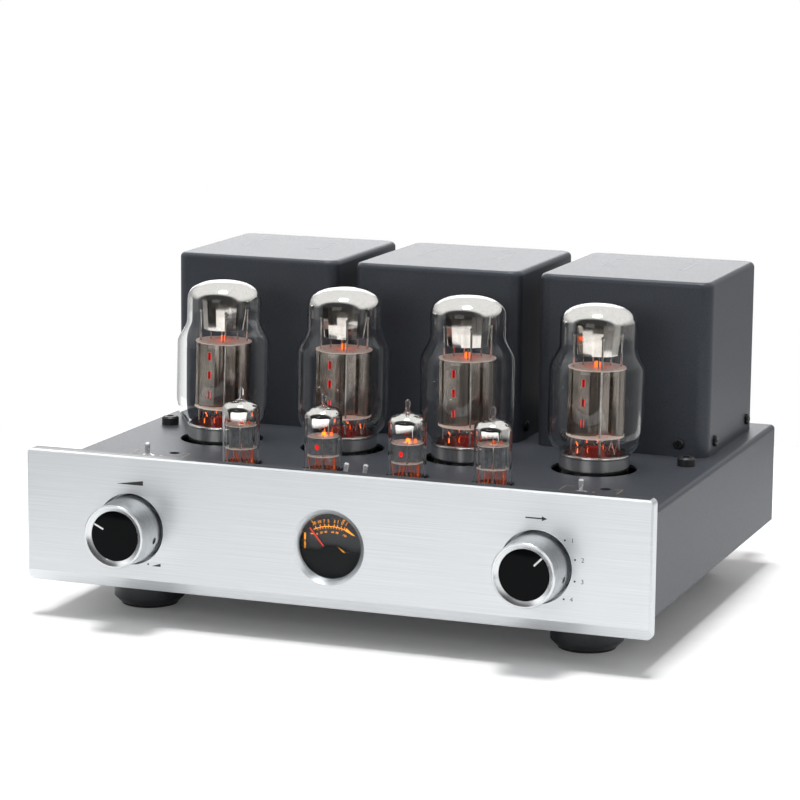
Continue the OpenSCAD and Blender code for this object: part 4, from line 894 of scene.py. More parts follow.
@dataclass
class Casework:
    """Case, covers and inner pieces, with the fine printed frames on their upper faces.

    A shift says how far the middle of a frame lies from the middle of the cover or toggle that it belongs to.
    """

    line: float = 0.45
    cover_shift: Pair = (-3.5, 11.0)
    cover_frame: Pair = (49.0, 30.0)
    cover_arm: float = 9.0
    plate_shifts: tuple[tuple[str, float, float], ...] = (("left", 1.0, 13.0), ("right", 1.2, 13.0))
    plate_frame: Pair = (32.0, 15.0)
    plate_arm: float = 5.0
    wedge: Line = ((0.0, -1.2), (2.2, 0.0), (0.0, 1.2))
    wedge_shifts: Line = ((-6.0, 9.0), (3.4, 9.0))
    coats: tuple[tuple[Finish, str], ...] = (
        (CASE_COAT, "chassis_case bottom_plate"),
        (COVER_COAT, "transformer_cover_left transformer_cover_centre transformer_cover_right"),
        (STEEL, "cover_brackets transformer_bolts case_screws volume_potentiometer volume_shaft"),
        (STEEL, "selector_switch selector_shaft"),
        (PLATED, "toggle_switch_bodies bias_toggle_left bias_toggle_right mode_toggle meter_toggle"),
        (MATT_BLACK, "cage_sockets power_switch_body mains_inlet"),
        (GLOSS_BLACK, "power_rocker speaker_caps_black"),
        (GOLD, "speaker_posts line_jacks"),
        (BLACK_STEEL, "cover_screws"),
        (IRON, "transformer_cores"),
        (COPPER, "transformer_coils"),
        (LAMINATE, "circuit_board"),
        (CERAMIC, "tube_sockets"),
        (BRASS, "board_standoffs"),
        (SLEEVE, "board_components"),
        (CAP_RED, "speaker_caps_red"),
    )

    def build(self) -> None:
        """Dress the CAD nodes and print the frames."""
        for finish, nodes in self.coats:
            for node in nodes.split():
                dress(node, finish)
        self.cover_prints()
        self.plate_prints()

    def brackets(self, x: float, y: float, size: Pair, arm: float, top: float) -> list[Shape]:
        """Draw a pair of square brackets that frame a field on an upper face.

        Args:
            x: Middle of the field.
            y: Middle of the field.
            size: Width and depth of the field.
            arm: Length of each bracket's arms.
            top: Height of the face.

        Returns:
            Thin bars that lie on the face.
        """
        bars = []
        for side in (-1, 1):
            edge = x + side * size[0] / 2
            bars.append(rectangle(edge, y, self.line, size[1]))
            for end in (-1, 1):
                bars.append(rectangle(edge - side * arm / 2, y + end * size[1] / 2, arm, self.line))
        return [prism(bar, top, top + PRINT_T) for bar in bars]

    def cover_prints(self) -> None:
        """Print a frame on the roof of each cover."""
        for place in ("left", "centre", "right"):
            node = f"transformer_cover_{place}"
            x, y = middle(node)[:2] + self.cover_shift
            bars = self.brackets(x, y, self.cover_frame, self.cover_arm, node_box(node)[1][2])
            piece(f"cover_print_{place}", join(bars), PALE_INK, CASE_BODY, "cover_paint")

    def plate_prints(self) -> None:
        """Print a frame round each bias toggle and its trimmer, with two small wedges."""
        top = node_box("chassis_case")[1][2]
        for place, *shift in self.plate_shifts:
            toggle = middle(f"bias_toggle_{place}")[:2]
            shapes = self.brackets(*(toggle + shift), self.plate_frame, self.plate_arm, top)
            shapes += [prism(self.wedge + toggle + aside, top, top + PRINT_T) for aside in self.wedge_shifts]
            piece(f"plate_print_{place}", join(shapes), TAN_INK, CASE_BODY, "case_paint")


@dataclass
class Feet:
    """Turned feet on rubber pads."""

    foot_d: float = 40.2
    pad_d: float = 33.4
    height: float = 27.0
    pad_h: float = 1.4
    pad_inset: float = 0.8
    pad_gap: float = 0.03
    bore: float = 7.0
    shelf: float = 19.0
    hole: float = 2.75

    def build(self) -> None:
        """Turn the feet and their pads where the CAD feet stand."""
        low, high = node_box("feet")
        half, pad_r = self.foot_d / 2, self.pad_d / 2
        spots = [(x, y) for x in (low[0] + half, high[0] - half) for y in (low[1] + half, high[1] - half)]
        foot = rounded([
            [self.hole, self.shelf], [self.bore, self.shelf], [self.bore, self.pad_h], [pad_r, self.pad_h, 0.3],
            [half, self.pad_h + half - pad_r, 0.5], [half, self.height, 1.0], [self.hole, self.height],
            [self.hole, self.shelf]])
        inset, top = pad_r - self.pad_inset, self.pad_h - self.pad_gap
        pad = rounded([[self.bore, 0], [inset, 0, 0.4], [inset, top], [self.bore, top], [self.bore, 0]])
        feet, pads = (join([lathe(profile).moved(x, y) for x, y in spots]) for profile in (foot, pad))
        piece("turned_feet", feet, FOOT_BLACK, CASE_BODY, "foot_black", "feet")
        piece("foot_pads", pads, RUBBER, CASE_BODY, "foot_black")


@dataclass
class FrontPanel:
    """Brushed panel with plain marks for the knobs."""

    dot_r: float = 0.55
    selector_ring: float = 22.3
    selector_angles: tuple[float, ...] = (45.0, 15.0, -15.0, -45.0)
    number_size: float = 3.4
    number_gap: float = 4.2
    volume_ring: float = 21.7
    volume_end: float = -60.0
    symbol_rise: float = 26.2
    arrow: Line = (
        (-6, -0.35), (3, -0.35), (3, -1.3), (6, 0), (3, 1.3), (3, 0.35), (-6, 0.35))
    wedge: Line = ((-8, -1.3), (8, -1.3), (8, 1.3))
    small_wedge: Line = ((2.0, -0.9), (7.5, -0.9), (7.5, 0.9))

    def build(self) -> None:
        """Dress the panel and print its marks."""
        low, high = node_box("front_panel")
        self.face = low[1]
        self.volume, self.selector = (middle(f"{control}_knob")[[0, 2]] for control in ("volume", "selector"))
        # the panel's finish darkens the recesses round the knobs with painted shade
        finish = PanelFinish(
            "brushed_aluminium_painted_shade", ("#c9cccf", "#d9dcde"), (0.34, 0.46), 1.0, (14, 900, 2200), 6.0, 0.006,
            stretch=0.5, recesses=(tuple(self.volume), tuple(self.selector)), top=float(high[2]))
        dress("front_panel", finish)
        marks = self.selector_marks() + self.volume_marks()
        piece("panel_marks", join(marks), INK, CASE_BODY, "panel_metal")

    def on_face(self, shape: Shape, spot: np.ndarray) -> Shape:
        """Lay a flat shape on the panel's face, at x and z of a spot."""
        return shape.facing(Facing.FRONT).moved(spot[0], self.face, spot[1])

    def selector_marks(self) -> list[Shape]:
        """Draw a dot and a number for each position, and a small arrow above the knob.

        Returns:
            The marks.
        """
        marks = []
        for number, angle in enumerate(self.selector_angles, 1):
            spot = self.selector + self.selector_ring * ray(angle)
            marks.append(self.on_face(prism(disc(self.dot_r)), spot))
            marks.append(self.on_face(digits(str(number), self.number_size), spot + [self.number_gap, 0]))
        return marks + [self.on_face(prism(np.array(self.arrow)), self.selector + [0, self.symbol_rise])]

    def volume_marks(self) -> list[Shape]:
        """Draw a dot and a small wedge at the loud end, and a wide wedge above the knob.

        Returns:
            The marks.
        """
        end = self.volume + self.volume_ring * ray(self.volume_end)
        above = self.volume + [0, self.symbol_rise]
        marks = ((disc(self.dot_r), end), (np.array(self.small_wedge), end), (np.array(self.wedge), above))
        return [self.on_face(prism(outline), spot) for outline, spot in marks]


@dataclass
class Knob:
    """Turned knob with a black face, a pointer line and a set screw."""

    control: str
    pointer: float
    front_r: float = 17.5
    base_r: float = 18.7
    sink: float = 3.0
    face_r: float = 13.85
    face_play: float = 0.05
    pocket: float = 2.5
    face_drop: float = 2.0
    rim: float = 0.5
    bore_r: float = 3.05
    bore_top: float = 13.0
    line: Triple = (7.6, 13.6, 1.0)
    screw_angle: float = -12.0
    screw_depth: float = 7.0
    screw_r: float = 1.5
    screw_l: float = 3.5
    key_r: float = 0.8
    key_depth: float = 1.5
    hole_r: float = 1.8
    hole_start: float = 4.0
    hole_over: float = 3.0

    def build(self) -> None:
        """Turn the knob and its face where the CAD knob is, and set the line and the screw."""
        low, high = node_box(f"{self.control}_knob")
        x, _, z = middle(f"{self.control}_knob")
        self.place = (x, high[1] - self.sink, z)
        self.proud = high[1] - self.sink - low[1]
        self.body = f"{self.control}_control"
        self.turned()
        self.face()
        self.set_screw()

    def out(self, shape: Shape) -> Shape:
        """Carry a shape, made along +Z from the panel's face, to the knob's place."""
        return shape.facing(Facing.FRONT).moved(*self.place)

    def aside(self, shape: Shape) -> Shape:
        """Carry a shape, made along +Z from the knob's axis, to the place of the set screw."""
        return self.out(shape.facing(Facing.RIGHT).spun(self.screw_angle).moved(z=self.screw_depth))

    def turned(self) -> None:
        """Turn the metal body, and drill the hole of the set screw."""
        floor, lip = self.proud - self.pocket - self.face_drop, self.face_r + self.face_play
        profile = rounded([
            [0, self.bore_top], [self.bore_r, self.bore_top], [self.bore_r, -self.sink],
            [self.base_r, -self.sink, 0.4], [self.front_r, self.proud - self.rim, 0.3],
            [self.front_r - self.rim, self.proud, 0.2], [self.front_r - 2 * self.rim, self.proud, 0.2],
            [lip, self.proud - self.face_drop, 0.2], [lip, floor], [0, floor]])
        finish = TurnedFinish(f"{self.control}_turned_metal", ("#c6c9cb", "#dcdee0"), (0.23, 0.32), 1.0,
                              relief=0.008, centre=self.place)
        knob = piece(f"{self.control}_knob_body", self.out(lathe(profile, 128)), finish, self.body, "knob_metal",
                     f"{self.control}_knob")
        drill = prism(disc(self.hole_r, 32), self.face_r - self.hole_start, self.base_r + self.hole_over)
        cutter = add_object("drill", plain_mesh("drill", self.aside(drill)))
        hole = knob.modifiers.new("hole", "BOOLEAN")
        hole.object, hole.operation, hole.solver = cutter, "DIFFERENCE", "EXACT"
        drilled = worked_out(knob)
        knob.modifiers.clear()
        knob.data = drilled
        drilled.set_sharp_from_angle(angle=math.radians(CRISP))
        bpy.data.objects.remove(cutter)

    def face(self) -> None:
        """Turn the black face with a soft edge, and lay the white line in it."""
        top = self.proud - self.face_drop
        gloss = pillar(self.face_r, top - self.pocket, top, 96, head=0.4)
        piece(f"{self.control}_knob_gloss", self.out(gloss), GLOSS_BLACK, self.body, "gloss_black",
              f"{self.control}_knob_face")
        start, end, width = self.line
        bar = rectangle((start + end) / 2, 0, end - start, width)
        line = prism(bar, top, top + PRINT_T).spun(self.pointer)
        piece(f"{self.control}_pointer", self.out(line), WHITE_INK, self.body, "gloss_black")

    def set_screw(self) -> None:
        """Set a socket screw at the bottom of its hole."""
        inner = self.face_r - self.hole_start
        outer = inner + self.screw_l
        profile = rounded([[0, inner], [self.screw_r, inner], [self.screw_r, outer, 0.3], [self.key_r, outer],
                           [self.key_r, outer - self.key_depth], [0, outer - self.key_depth]])
        piece(f"{self.control}_set_screw", self.aside(lathe(profile, 24)), BLACK_STEEL, self.body, "black_steel")


@dataclass
class LevelMeter:
    """Round meter: a lit scale on a dark dial, a glossy lower mask, a red needle with painted glow and a lens, with
    painted shadow on the dial along the mask's edge and painted light on the mask's sloped edge and at the dial's left
    edge.

    A tick is given by how far beyond the arc its middle lies, its width and its length, and a row of numbers by how
    far beyond the arc it lies and its size.
    """

    arc_r: float = 23.0
    arc_centre: Pair = (-1.0, -6.0)
    arc_w: float = 0.4
    reach: Pair = (-26.5, 34.0)
    zone_start: float = 20.0
    zone_w: float = 1.7
    zone_drop: float = 0.3
    zone_steps: int = 40
    tick: Triple = (0.8, 0.38, 1.6)
    fine_tick: Triple = (-0.55, 0.3, 0.8)
    fine_ticks: tuple[float, float, int] = (-21.0, 15.0, 10)
    dash: tuple[float, float, float, float] = (-12.2, 12.4, 1.9, 0.5)
    # painted light: a lit bar at the dial's left edge
    edge_painted_light: tuple[float, float, float, float] = (-16.3, 8.35, 0.9, 8.5)
    # painted light: a lit strip along the mask's sloped edge
    slope_painted_light: Line = ((3.9, 6.85), (4.2, 6.75), (8.0, 4.1), (6.9, 4.2))
    # painted shadow: a dark field on the dial along the mask's upper edge
    shade: Line = ((-16.9, 2.9), (16.9, 2.9), (16.9, 6.35), (-16.9, 8.9))
    number_row: Pair = (3.1, 2.3)
    numbers: tuple[tuple[float, str], ...] = (
        (-22.6, "20"), (-15.8, "10"), (-9.6, "7"), (-4.0, "5"), (3.6, "3"), (8.0, "1"), (13.4, "0"), (18.0, "1"))
    share_row: Pair = (-2.8, 1.6)
    shares: tuple[tuple[float, str], ...] = (
        (-24.3, "0"), (-17.0, "20"), (-9.5, "40"), (1.7, "60"), (9.0, "80"), (21.6, "100"))
    lens_r: Pair = (19.4, 17.6)
    lens_z: Triple = (-4.5, -3.05, -1.0)
    lens_edge: float = 2.0

    def build(self) -> None:
        """Dress the meter's nodes, print the lit scale on the dial with painted light on the mask, and lay painted
        shadow on the dial.
        """
        for node, finish in {"housing": GLOSS_BLACK, "dial": DIAL_BLACK, "mask": GLOSS_BLACK, "movement": BRASS,
                             "needle": NEEDLE_RED_PAINTED_GLOW}.items():
            dress(f"meter_{node}", finish)
        joint = next(j for j in frame["joints"] if j["child"] == "needle")
        x, _, z = (v / MM for v in joint["pos_m"])
        dial, mask = (node_box(f"meter_{node}")[0][1] for node in ("dial", "mask"))
        marks = [m.facing(Facing.FRONT).moved(x, dial, z) for m in self.scale()]
        slope_painted_light, shade = (prism(np.array(flat)).facing(Facing.FRONT) for flat in (self.slope_painted_light, self.shade))
        # the lit scale, with the strip of painted light on the mask
        piece("meter_scale", join(marks + [slope_painted_light.moved(x, mask, z)]), SCALE_LIGHT, CASE_BODY, "dial_print")
        # painted shadow laid on the dial
        piece("meter_painted_shadow", shade.moved(x, dial, z), MATT_BLACK, CASE_BODY, "dial_print")
        self.lens()

    def lens(self) -> None:
        """Turn the lens: a flange behind the panel's ledge and a thick front with a round edge."""
        x, _, z = middle("meter_lens")
        (flange, rim), (back, ledge, front) = self.lens_r, self.lens_z
        profile = rounded([[0, back], [flange, back], [flange, ledge], [rim, ledge], [rim, front, self.lens_edge],
                           [0, front]])
        shape = lathe(profile, 128).facing(Facing.FRONT).moved(x, node_box("front_panel")[0][1], z)
        piece("meter_glass", shape, LENS, CASE_BODY, "clear_glass", "meter_lens")

    def scale(self) -> list[Shape]:
        """Draw arc, zone, ticks and numbers round the scale's own centre, in the plane of the dial.

        Returns:
            The flat shapes, with a lit dash and a bar of painted light at the dial's left edge beside the scale.
        """
        narrowing = self.zone_w * (1.05 - np.linspace(0, 1, self.zone_steps))
        arc = sector(self.arc_r, self.arc_w, self.reach[0], self.zone_start, self.zone_steps)
        zone = sector(self.arc_r - self.zone_drop, narrowing, self.zone_start, self.reach[1], self.zone_steps)
        shapes = [prism(arc), prism(zone)]
        for (beyond, *size), angles in ((self.tick, [angle for angle, _ in self.numbers]),
                                        (self.fine_tick, np.linspace(*self.fine_ticks))):
            tick = prism(rectangle(0, self.arc_r + beyond, *size))
            shapes += [tick.spun(-angle) for angle in angles]
        for (beyond, size), row in ((self.number_row, self.numbers), (self.share_row, self.shares)):
            shapes += [digits(text, size).moved(y=self.arc_r + beyond).spun(-angle) for angle, text in row]
        # a lit dash, and a bar of painted light at the dial's left edge
        lit = [prism(rectangle(*spot)) for spot in (self.dash, self.edge_painted_light)]
        return [shape.moved(*self.arc_centre) for shape in shapes] + lit


@dataclass(frozen=True)
class Wiring:
    """How a tube's uneven wires run from its foot to its lower mica.

    out is the farthest start from the axis, and places starts follow inwards, step apart. drift and back set how a
    wire goes outwards or inwards on its way, wave how far it sways, and low and rise its heights.
    """

    out: float
    step: float
    places: int
    drift: float
    back: float
    wave: float
    low: float
    rise: float


@dataclass(kw_only=True)
class Tube:
    """What both kinds of tube share: a place in a socket, walls of glass, two mica discs and many wires.

    shell names the piece that is shown in place of the tube's metal. The field for the micas' painted glow holds the
    share at a mica's rim, what the axis has more than that, and how far from the axis it reaches.
    """

    number: int
    kind: str
    shell: str
    lean: float = 0.0
    turn: float
    turns: int = 96
    sharp: float = CRISP
    wall: float
    seat: float = -6.3
    floor_t: float = 2.0
    film_depth: float = 0.3
    mica_r: float
    mica_z: Pair
    mica_t: float = 0.4
    mica_mesh: tuple[int, int]
    mica_painted_glow: Triple
    play: float = 0.05
    wiring: Wiring

    def build(self) -> None:
        """Make the tube's pieces on its own axis and carry them to its socket."""
        x, y, _ = middle(f"{self.name}_glass")
        top = node_box("chassis_case")[1][2]
        nodes = {self.shell: [self.name], "bulb": [f"{self.name}_glass"]}
        for make, finish in self.looks():
            part, slot = make.__name__, "clear_glass" if finish is GLASS else "tube_metal"
            placed = make().leaned(self.lean).moved(x, y, top)
            piece(f"{self.name}_{part}", placed, finish, self.name, slot, *nodes.get(part, []), sharp=self.sharp)

    @property
    def name(self) -> str:
        """Name the tube's body and its CAD node."""
        return f"{self.kind}_tube_{self.number}"

    @property
    def between(self) -> Pair:
        """Give the heights that the plates reach: from the lower mica to the upper one."""
        return self.mica_z[0] + self.mica_t + self.play, self.mica_z[1] - self.play

    @property
    def above(self) -> float:
        """Give the height of what stands on the upper mica."""
        return self.mica_z[1] + self.mica_t + self.play

    def looks(self) -> list[tuple[Callable[[], Shape], Finish]]:
        """List the method that makes each piece, which is named after it, and the piece's finish."""
        raise NotImplementedError

    def outline(self, inset: float) -> np.ndarray:
        """Draw the bulb's side up to its crown, drawn in by the inset."""
        raise NotImplementedError

    def glass(self, foot: np.ndarray, radius: float, floor: float) -> Shape:
        """Turn the glass: an outer wall that goes up from its foot and an inner wall that comes down to a floor.

        Args:
            foot: Radius and height of the points under the outer wall.
            radius: Radius of the foot.
            floor: Height of the floor.

        Returns:
            Both walls.
        """
        outer = np.concatenate([foot, self.outline(0)])
        inner = np.concatenate([self.outline(self.wall)[::-1], [[radius - self.wall, floor], [0, floor]]])
        return join([lathe(outer, self.turns), lathe(inner, self.turns)])

    def sway(self, film: Shape, waves: int) -> np.ndarray:
        """Give each point of a film a sine wave round the axis, shifted by the tube's number."""
        return np.sin(waves * np.arctan2(film.points[:, 1], film.points[:, 0]) + self.number)

    def glowing(self, shape: Shape, rim: float, more: float, reach: float) -> Shape:
        """Give a shape a share that falls from the axis outwards as a bell: rim + more exp(-(r / reach) squared)."""
        return shape.with_share(rim + more * np.exp(-(shape.away() / reach) ** 2))

    def micas(self) -> Shape:
        """Turn the two mica discs, whose painted glow is strongest near the axis.

        Returns:
            Both discs.
        """
        rings, turns = self.mica_mesh
        r = np.linspace(0, self.mica_r, rings)
        sides = [np.column_stack([r, np.zeros(rings)]), np.column_stack([r[::-1], np.full(rings, self.mica_t)])]
        # painted glow on the micas, falling from the axis outwards
        mica = self.glowing(lathe(np.concatenate(sides), turns), *self.mica_painted_glow)
        return join([mica.moved(z=z) for z in self.mica_z])

    def wire(self, k: int, radius: float, start: float = 0.0, end: float = 1.0) -> Shape:
        """Bend one of the many uneven wires between the foot and the lower mica.

        Args:
            k: The wire's count, which sets its place: golden angles keep neighbours apart.
            radius: Half its thickness.
            start: Where it starts, as a share of the way up.
            end: Where it ends.

        Returns:
            The wire: its way from the axis changes evenly, and it sways by one or two half sine waves.
        """
        run, t = self.wiring, np.linspace(start, end, 9)
        away = run.out - run.step * (k % run.places) + (run.drift * (k % 3) - run.back) * t
        sideways = run.wave * (-1) ** k * np.sin(np.pi * (1 + k % 2) * t)
        return sweep(np.column_stack([away, sideways, run.low + run.rise * t]), radius, 6).spun(GOLDEN_ANGLE * k)


@dataclass(kw_only=True)
class PowerTube(Tube):
    """Large tube: nickel collar, shouldered bulb with a mirrored dome, and the electrodes inside it, lit by hot wires
    and painted glow.
    """

    kind: str = "power"
    shell: str = "collar"
    turn: float = 20.4
    turns: int = 128
    sharp: float = 25.0
    wall: float = 1.0
    foot_r: float = 18.2
    wide_r: float = 26.6
    neck_r: float = 21.4
    wafer: float = 4.0
    collar_r: float = 19.8
    collar_top: float = 9.4
    lip: float = 0.3
    bulge_h: float = 15.0
    shoulder_z: float = 56.0
    shoulder_h: float = 13.5
    dome_z: float = 81.0
    dome_h: float = 11.9
    dome_power: float = 0.84
    pin_l: float = 11.0
    pin_r: float = 1.17
    pin_ring: float = 8.73
    key_r: float = 3.95
    mica_r: float = 16.2
    mica_z: Pair = (19.0, 57.0)
    mica_mesh: tuple[int, int] = (12, 96)
    mica_painted_glow: Triple = (0.12, 0.88, 6.0)
    rod_r: float = 0.6
    bead_r: float = 0.95
    rod_ring: float = 13.4
    rod_turn: float = 27.5
    rod_top: float = 75.0
    getter_r: float = 11.8
    getter_z: Pair = (64.5, 83.5)
    getter_taper: float = -1.4
    getter_t: float = 0.5
    getter_sides: int = 13
    getter_turn: float = -5.7
    post_ring: float = 9.0
    post_turn: float = 30.0
    haze_edge: float = 74.0
    haze: float = 0.14
    flash_edge: float = 83.8
    anode_line: Line = (
        (-15.8, -0.6), (-14.2, -1.2, 0.3), (-13.4, -4.2, 0.5), (-4.8, -7.6, 0.8), (0.2, -6.3, 0.7), (1.4, -2.8, 0.4),
        (6.9, -2.6))
    lobe: Triple = (11.3, -1.2, 4.1)
    fin_end: Pair = (15.8, -0.5)
    slot_z: tuple[float, ...] = (26.4, 38.0, 49.0)
    slot_h: float = 4.2
    slot_share: float = 0.66
    slot_edge: float = 0.75
    stem_line: Line = ((7.5, 6.2, 2.0), (5.0, 12.5, 1.5), (0.0, 13.0, 0.0))
    stem_side: float = 5.2
    stem_painted_glow: Triple = (0.25, 0.75, 8.0)
    wiring: Wiring = Wiring(11.5, 1.4, 4, 3.0, 4.0, 1.6, 9.0, 10.0)
    lead_count: int = 14
    run_count: int = 7
    cathode_r: float = 1.6
    cathode_h: float = 3.0

    @property
    def floor(self) -> float:
        """Give the height of the glass floor."""
        return self.seat + self.wafer + self.floor_t

    def looks(self) -> list[tuple[Callable[[], Shape], Finish]]:
        """List the method that makes each piece, which is named after it, and the piece's finish.

        Returns:
            The list, in the order of building.
        """
        return [(self.collar, SATIN), (self.pins, STEEL), (self.bulb, GLASS), (self.mirror, FLASH), (self.anode, ANODE),
                (self.slots, SLOT_PAINTED_SHADE), (self.slot_edges, RED_PAINTED_GLOW), (self.micas, MICA_PAINTED_GLOW), (self.rods, NICKEL),
                (self.getter, POLISHED), (self.stem, STEM_PAINTED_GLOW), (self.leads, NICKEL), (self.heater, HOT_WIRE)]

    def outline(self, inset: float) -> np.ndarray:
        """Draw the bulb's side from its foot to its crown.

        The bulge is a quarter of an ellipse and the shoulder follows t t (3 - 2 t). The dome is a squarer quarter:
        the sine and the cosine of its angle are raised to a power below one.

        Args:
            inset: How far the side is drawn in.

        Returns:
            Radius and height of each point.
        """
        t = np.linspace(0, 1, 15)
        ease = t * t * (3 - 2 * t)
        quarter = np.radians(90 * t)
        bulge = [self.foot_r - inset + (self.wide_r - self.foot_r) * np.sin(quarter),
                 self.collar_top + self.bulge_h * (1 - np.cos(quarter))]
        shoulder = [self.wide_r - inset - (self.wide_r - self.neck_r) * ease, self.shoulder_z + self.shoulder_h * t]
        dome = [(self.neck_r - inset) * np.abs(np.cos(quarter)) ** self.dome_power,
                self.dome_z + (self.dome_h - inset) * np.sin(quarter) ** self.dome_power]
        dome[0][-1] = 0.0
        return np.concatenate([np.column_stack(part) for part in (bulge, shoulder, dome)])

    def bulb(self) -> Shape:
        """Turn the glass on a flat foot."""
        foot = self.seat + self.wafer
        return self.glass(np.array([[0, foot], [self.foot_r, foot]]), self.foot_r, self.floor)

    def mirror(self) -> Shape:
        """Turn the metal film in the dome's wall: whole over the crown, a thin haze below it, none under an edge.

        Returns:
            The film.
        """
        side = self.outline(self.film_depth)
        heights = np.linspace(self.haze_edge - 4, self.dome_z, 24)
        radii = np.interp(heights, side[:, 1], side[:, 0])
        film = lathe(np.concatenate([np.column_stack([radii, heights]), side[side[:, 1] > self.dome_z]]), self.turns)
        height, sway = film.points[:, 2], self.sway(film, 3)
        thin = np.clip((height - self.haze_edge - 1.2 * sway) / 1.5, 0, 1) * self.haze
        return film.with_share(thin + np.clip((height - self.flash_edge - 0.3 * sway) / 1.2 + 0.5, 0, 1))

    def collar(self) -> Shape:
        """Turn the nickel collar with a rolled upper lip and a round lower edge.

        Returns:
            The collar.
        """
        inner, low, top, lip = self.foot_r + 0.1, self.seat, self.collar_top, self.collar_r + self.lip
        return lathe(rounded([
            [inner, low], [self.collar_r, low, 0.6], [self.collar_r, top - 1.6, 0.3], [lip, top - 1.2, 0.3],
            [lip, top, 0.6], [inner, top, 0.3], [inner, low]]), self.turns)

    def pins(self) -> Shape:
        """Set eight pins and a key under a round wafer.

        Returns:
            The wafer and what is under it.
        """
        low = self.seat - self.pin_l
        wafer = pillar(self.foot_r, self.seat, self.seat + self.wafer - self.play, 96, foot=0.3)
        key = pillar(self.key_r, low, self.seat, 48, foot=1.0)
        pin = pillar(self.pin_r, low, self.seat, 20, foot=0.8).moved(self.pin_ring)
        return join([wafer, key] + pin.repeated(8, 45))

    def anode(self) -> Shape:
        """Raise the anode: fin, flat face, column, recess and round lobe, the same after a half turn.

        Returns:
            The anode.
        """
        x, y, radius = self.lobe
        lobe = np.radians(np.linspace(-150, 0, 18))
        front = np.concatenate([
            rounded(self.anode_line), np.column_stack([x + radius * np.cos(lobe), y + radius * np.sin(lobe)]),
            [self.fin_end]])
        return prism(np.concatenate([front, -front]), *self.between).spun(self.turn)

    def slots(self, width: float = 1.9, depth: float = 0.2, aside: float = 0.0) -> Shape:
        """Lay three upright strips on the flat face, which runs between two corners of the anode's line. Dark strips
        are painted shade where the slots open, and thin ones give painted glow beside them.

        Args:
            width: Width of each strip along the face.
            depth: How thick it is, half of it sunk into the face.
            aside: How far it lies from the slot's middle.

        Returns:
            The three strips.
        """
        start, end = (np.array(corner[:2]) for corner in self.anode_line[2:4])
        way = (end - start) / np.linalg.norm(end - start)
        x, y = start + self.slot_share * (end - start) + aside * way
        strip = prism(rectangle(0, 0, width, depth), -self.slot_h / 2, self.slot_h / 2)
        placed = strip.spun(math.degrees(math.atan2(way[1], way[0]))).moved(x, y).spun(self.turn)
        return join([placed.moved(z=z) for z in self.slot_z])

    def slot_edges(self) -> Shape:
        """Paint red glow on the two sides of each slot."""
        return join([self.slots(0.4, 0.3, aside) for aside in (-self.slot_edge, self.slot_edge)])

    def rods(self) -> Shape:
        """Stand four rods on the stem, each with a bead at its top.

        Returns:
            The rods.
        """
        bead = np.radians(np.linspace(-50, 90, 8))
        head = np.column_stack([self.bead_r * np.cos(bead), self.rod_top + self.bead_r * np.sin(bead)])
        profile = np.concatenate([[[0, self.floor], [self.rod_r, self.floor]], head])
        return join(lathe(profile, 16).moved(self.rod_ring).repeated(4, 90, self.rod_turn))

    def getter(self) -> Shape:
        """Fold the polished band of flat plates above the upper mica, on three posts.

        Returns:
            The band and its posts.
        """
        (low, top), r, t = self.getter_z, self.getter_r, self.getter_t
        crown = r - self.getter_taper
        band = lathe(rounded([
            [r - t, low], [r, low, 0.2], [crown, top, 0.4], [0, top], [0, top - t], [crown - t, top - t],
            [r - t, low]]), self.getter_sides)
        post = pillar(0.5, self.above, top - 0.6).moved(self.post_ring)
        return join([band.spun(self.getter_turn)] + post.repeated(3, 120, self.turn + self.post_turn))

    def stem(self) -> Shape:
        """Turn the pressed glass stem in the foot: its share is painted glow, an even dull red that is stronger in the
        middle.

        Returns:
            The stem.
        """
        low, side = self.floor + self.play, self.foot_r - self.wall - 0.1
        middle_line = [[radius, low + rise, arc] for radius, rise, arc in self.stem_line]
        profile = rounded([[0, low], [side, low], [side, low + self.stem_side, 1.0]] + middle_line)
        # painted glow on the stem, stronger in the middle
        return self.glowing(lathe(profile), *self.stem_painted_glow)

    def leads(self) -> Shape:
        """Run the cold wires from the stem to the lower mica."""
        return join([self.wire(k, 0.22) for k in range(self.lead_count)])

    def heater(self) -> Shape:
        """Set short hot runs among the wires, and stand the hot cathode end on the upper mica.

        Returns:
            The runs and the cathode.
        """
        runs = []
        for k in range(self.lead_count, self.lead_count + self.run_count):
            start = 0.1 + 0.07 * (k % 5)
            runs.append(self.wire(k, 0.2, start, start + 0.25).with_share(0.25 + 0.35 * (k % 3)))
        cathode = pillar(self.cathode_r, self.above, self.above + self.cathode_h, 24, head=0.6)
        return join(runs + [cathode.with_share(0.5)])


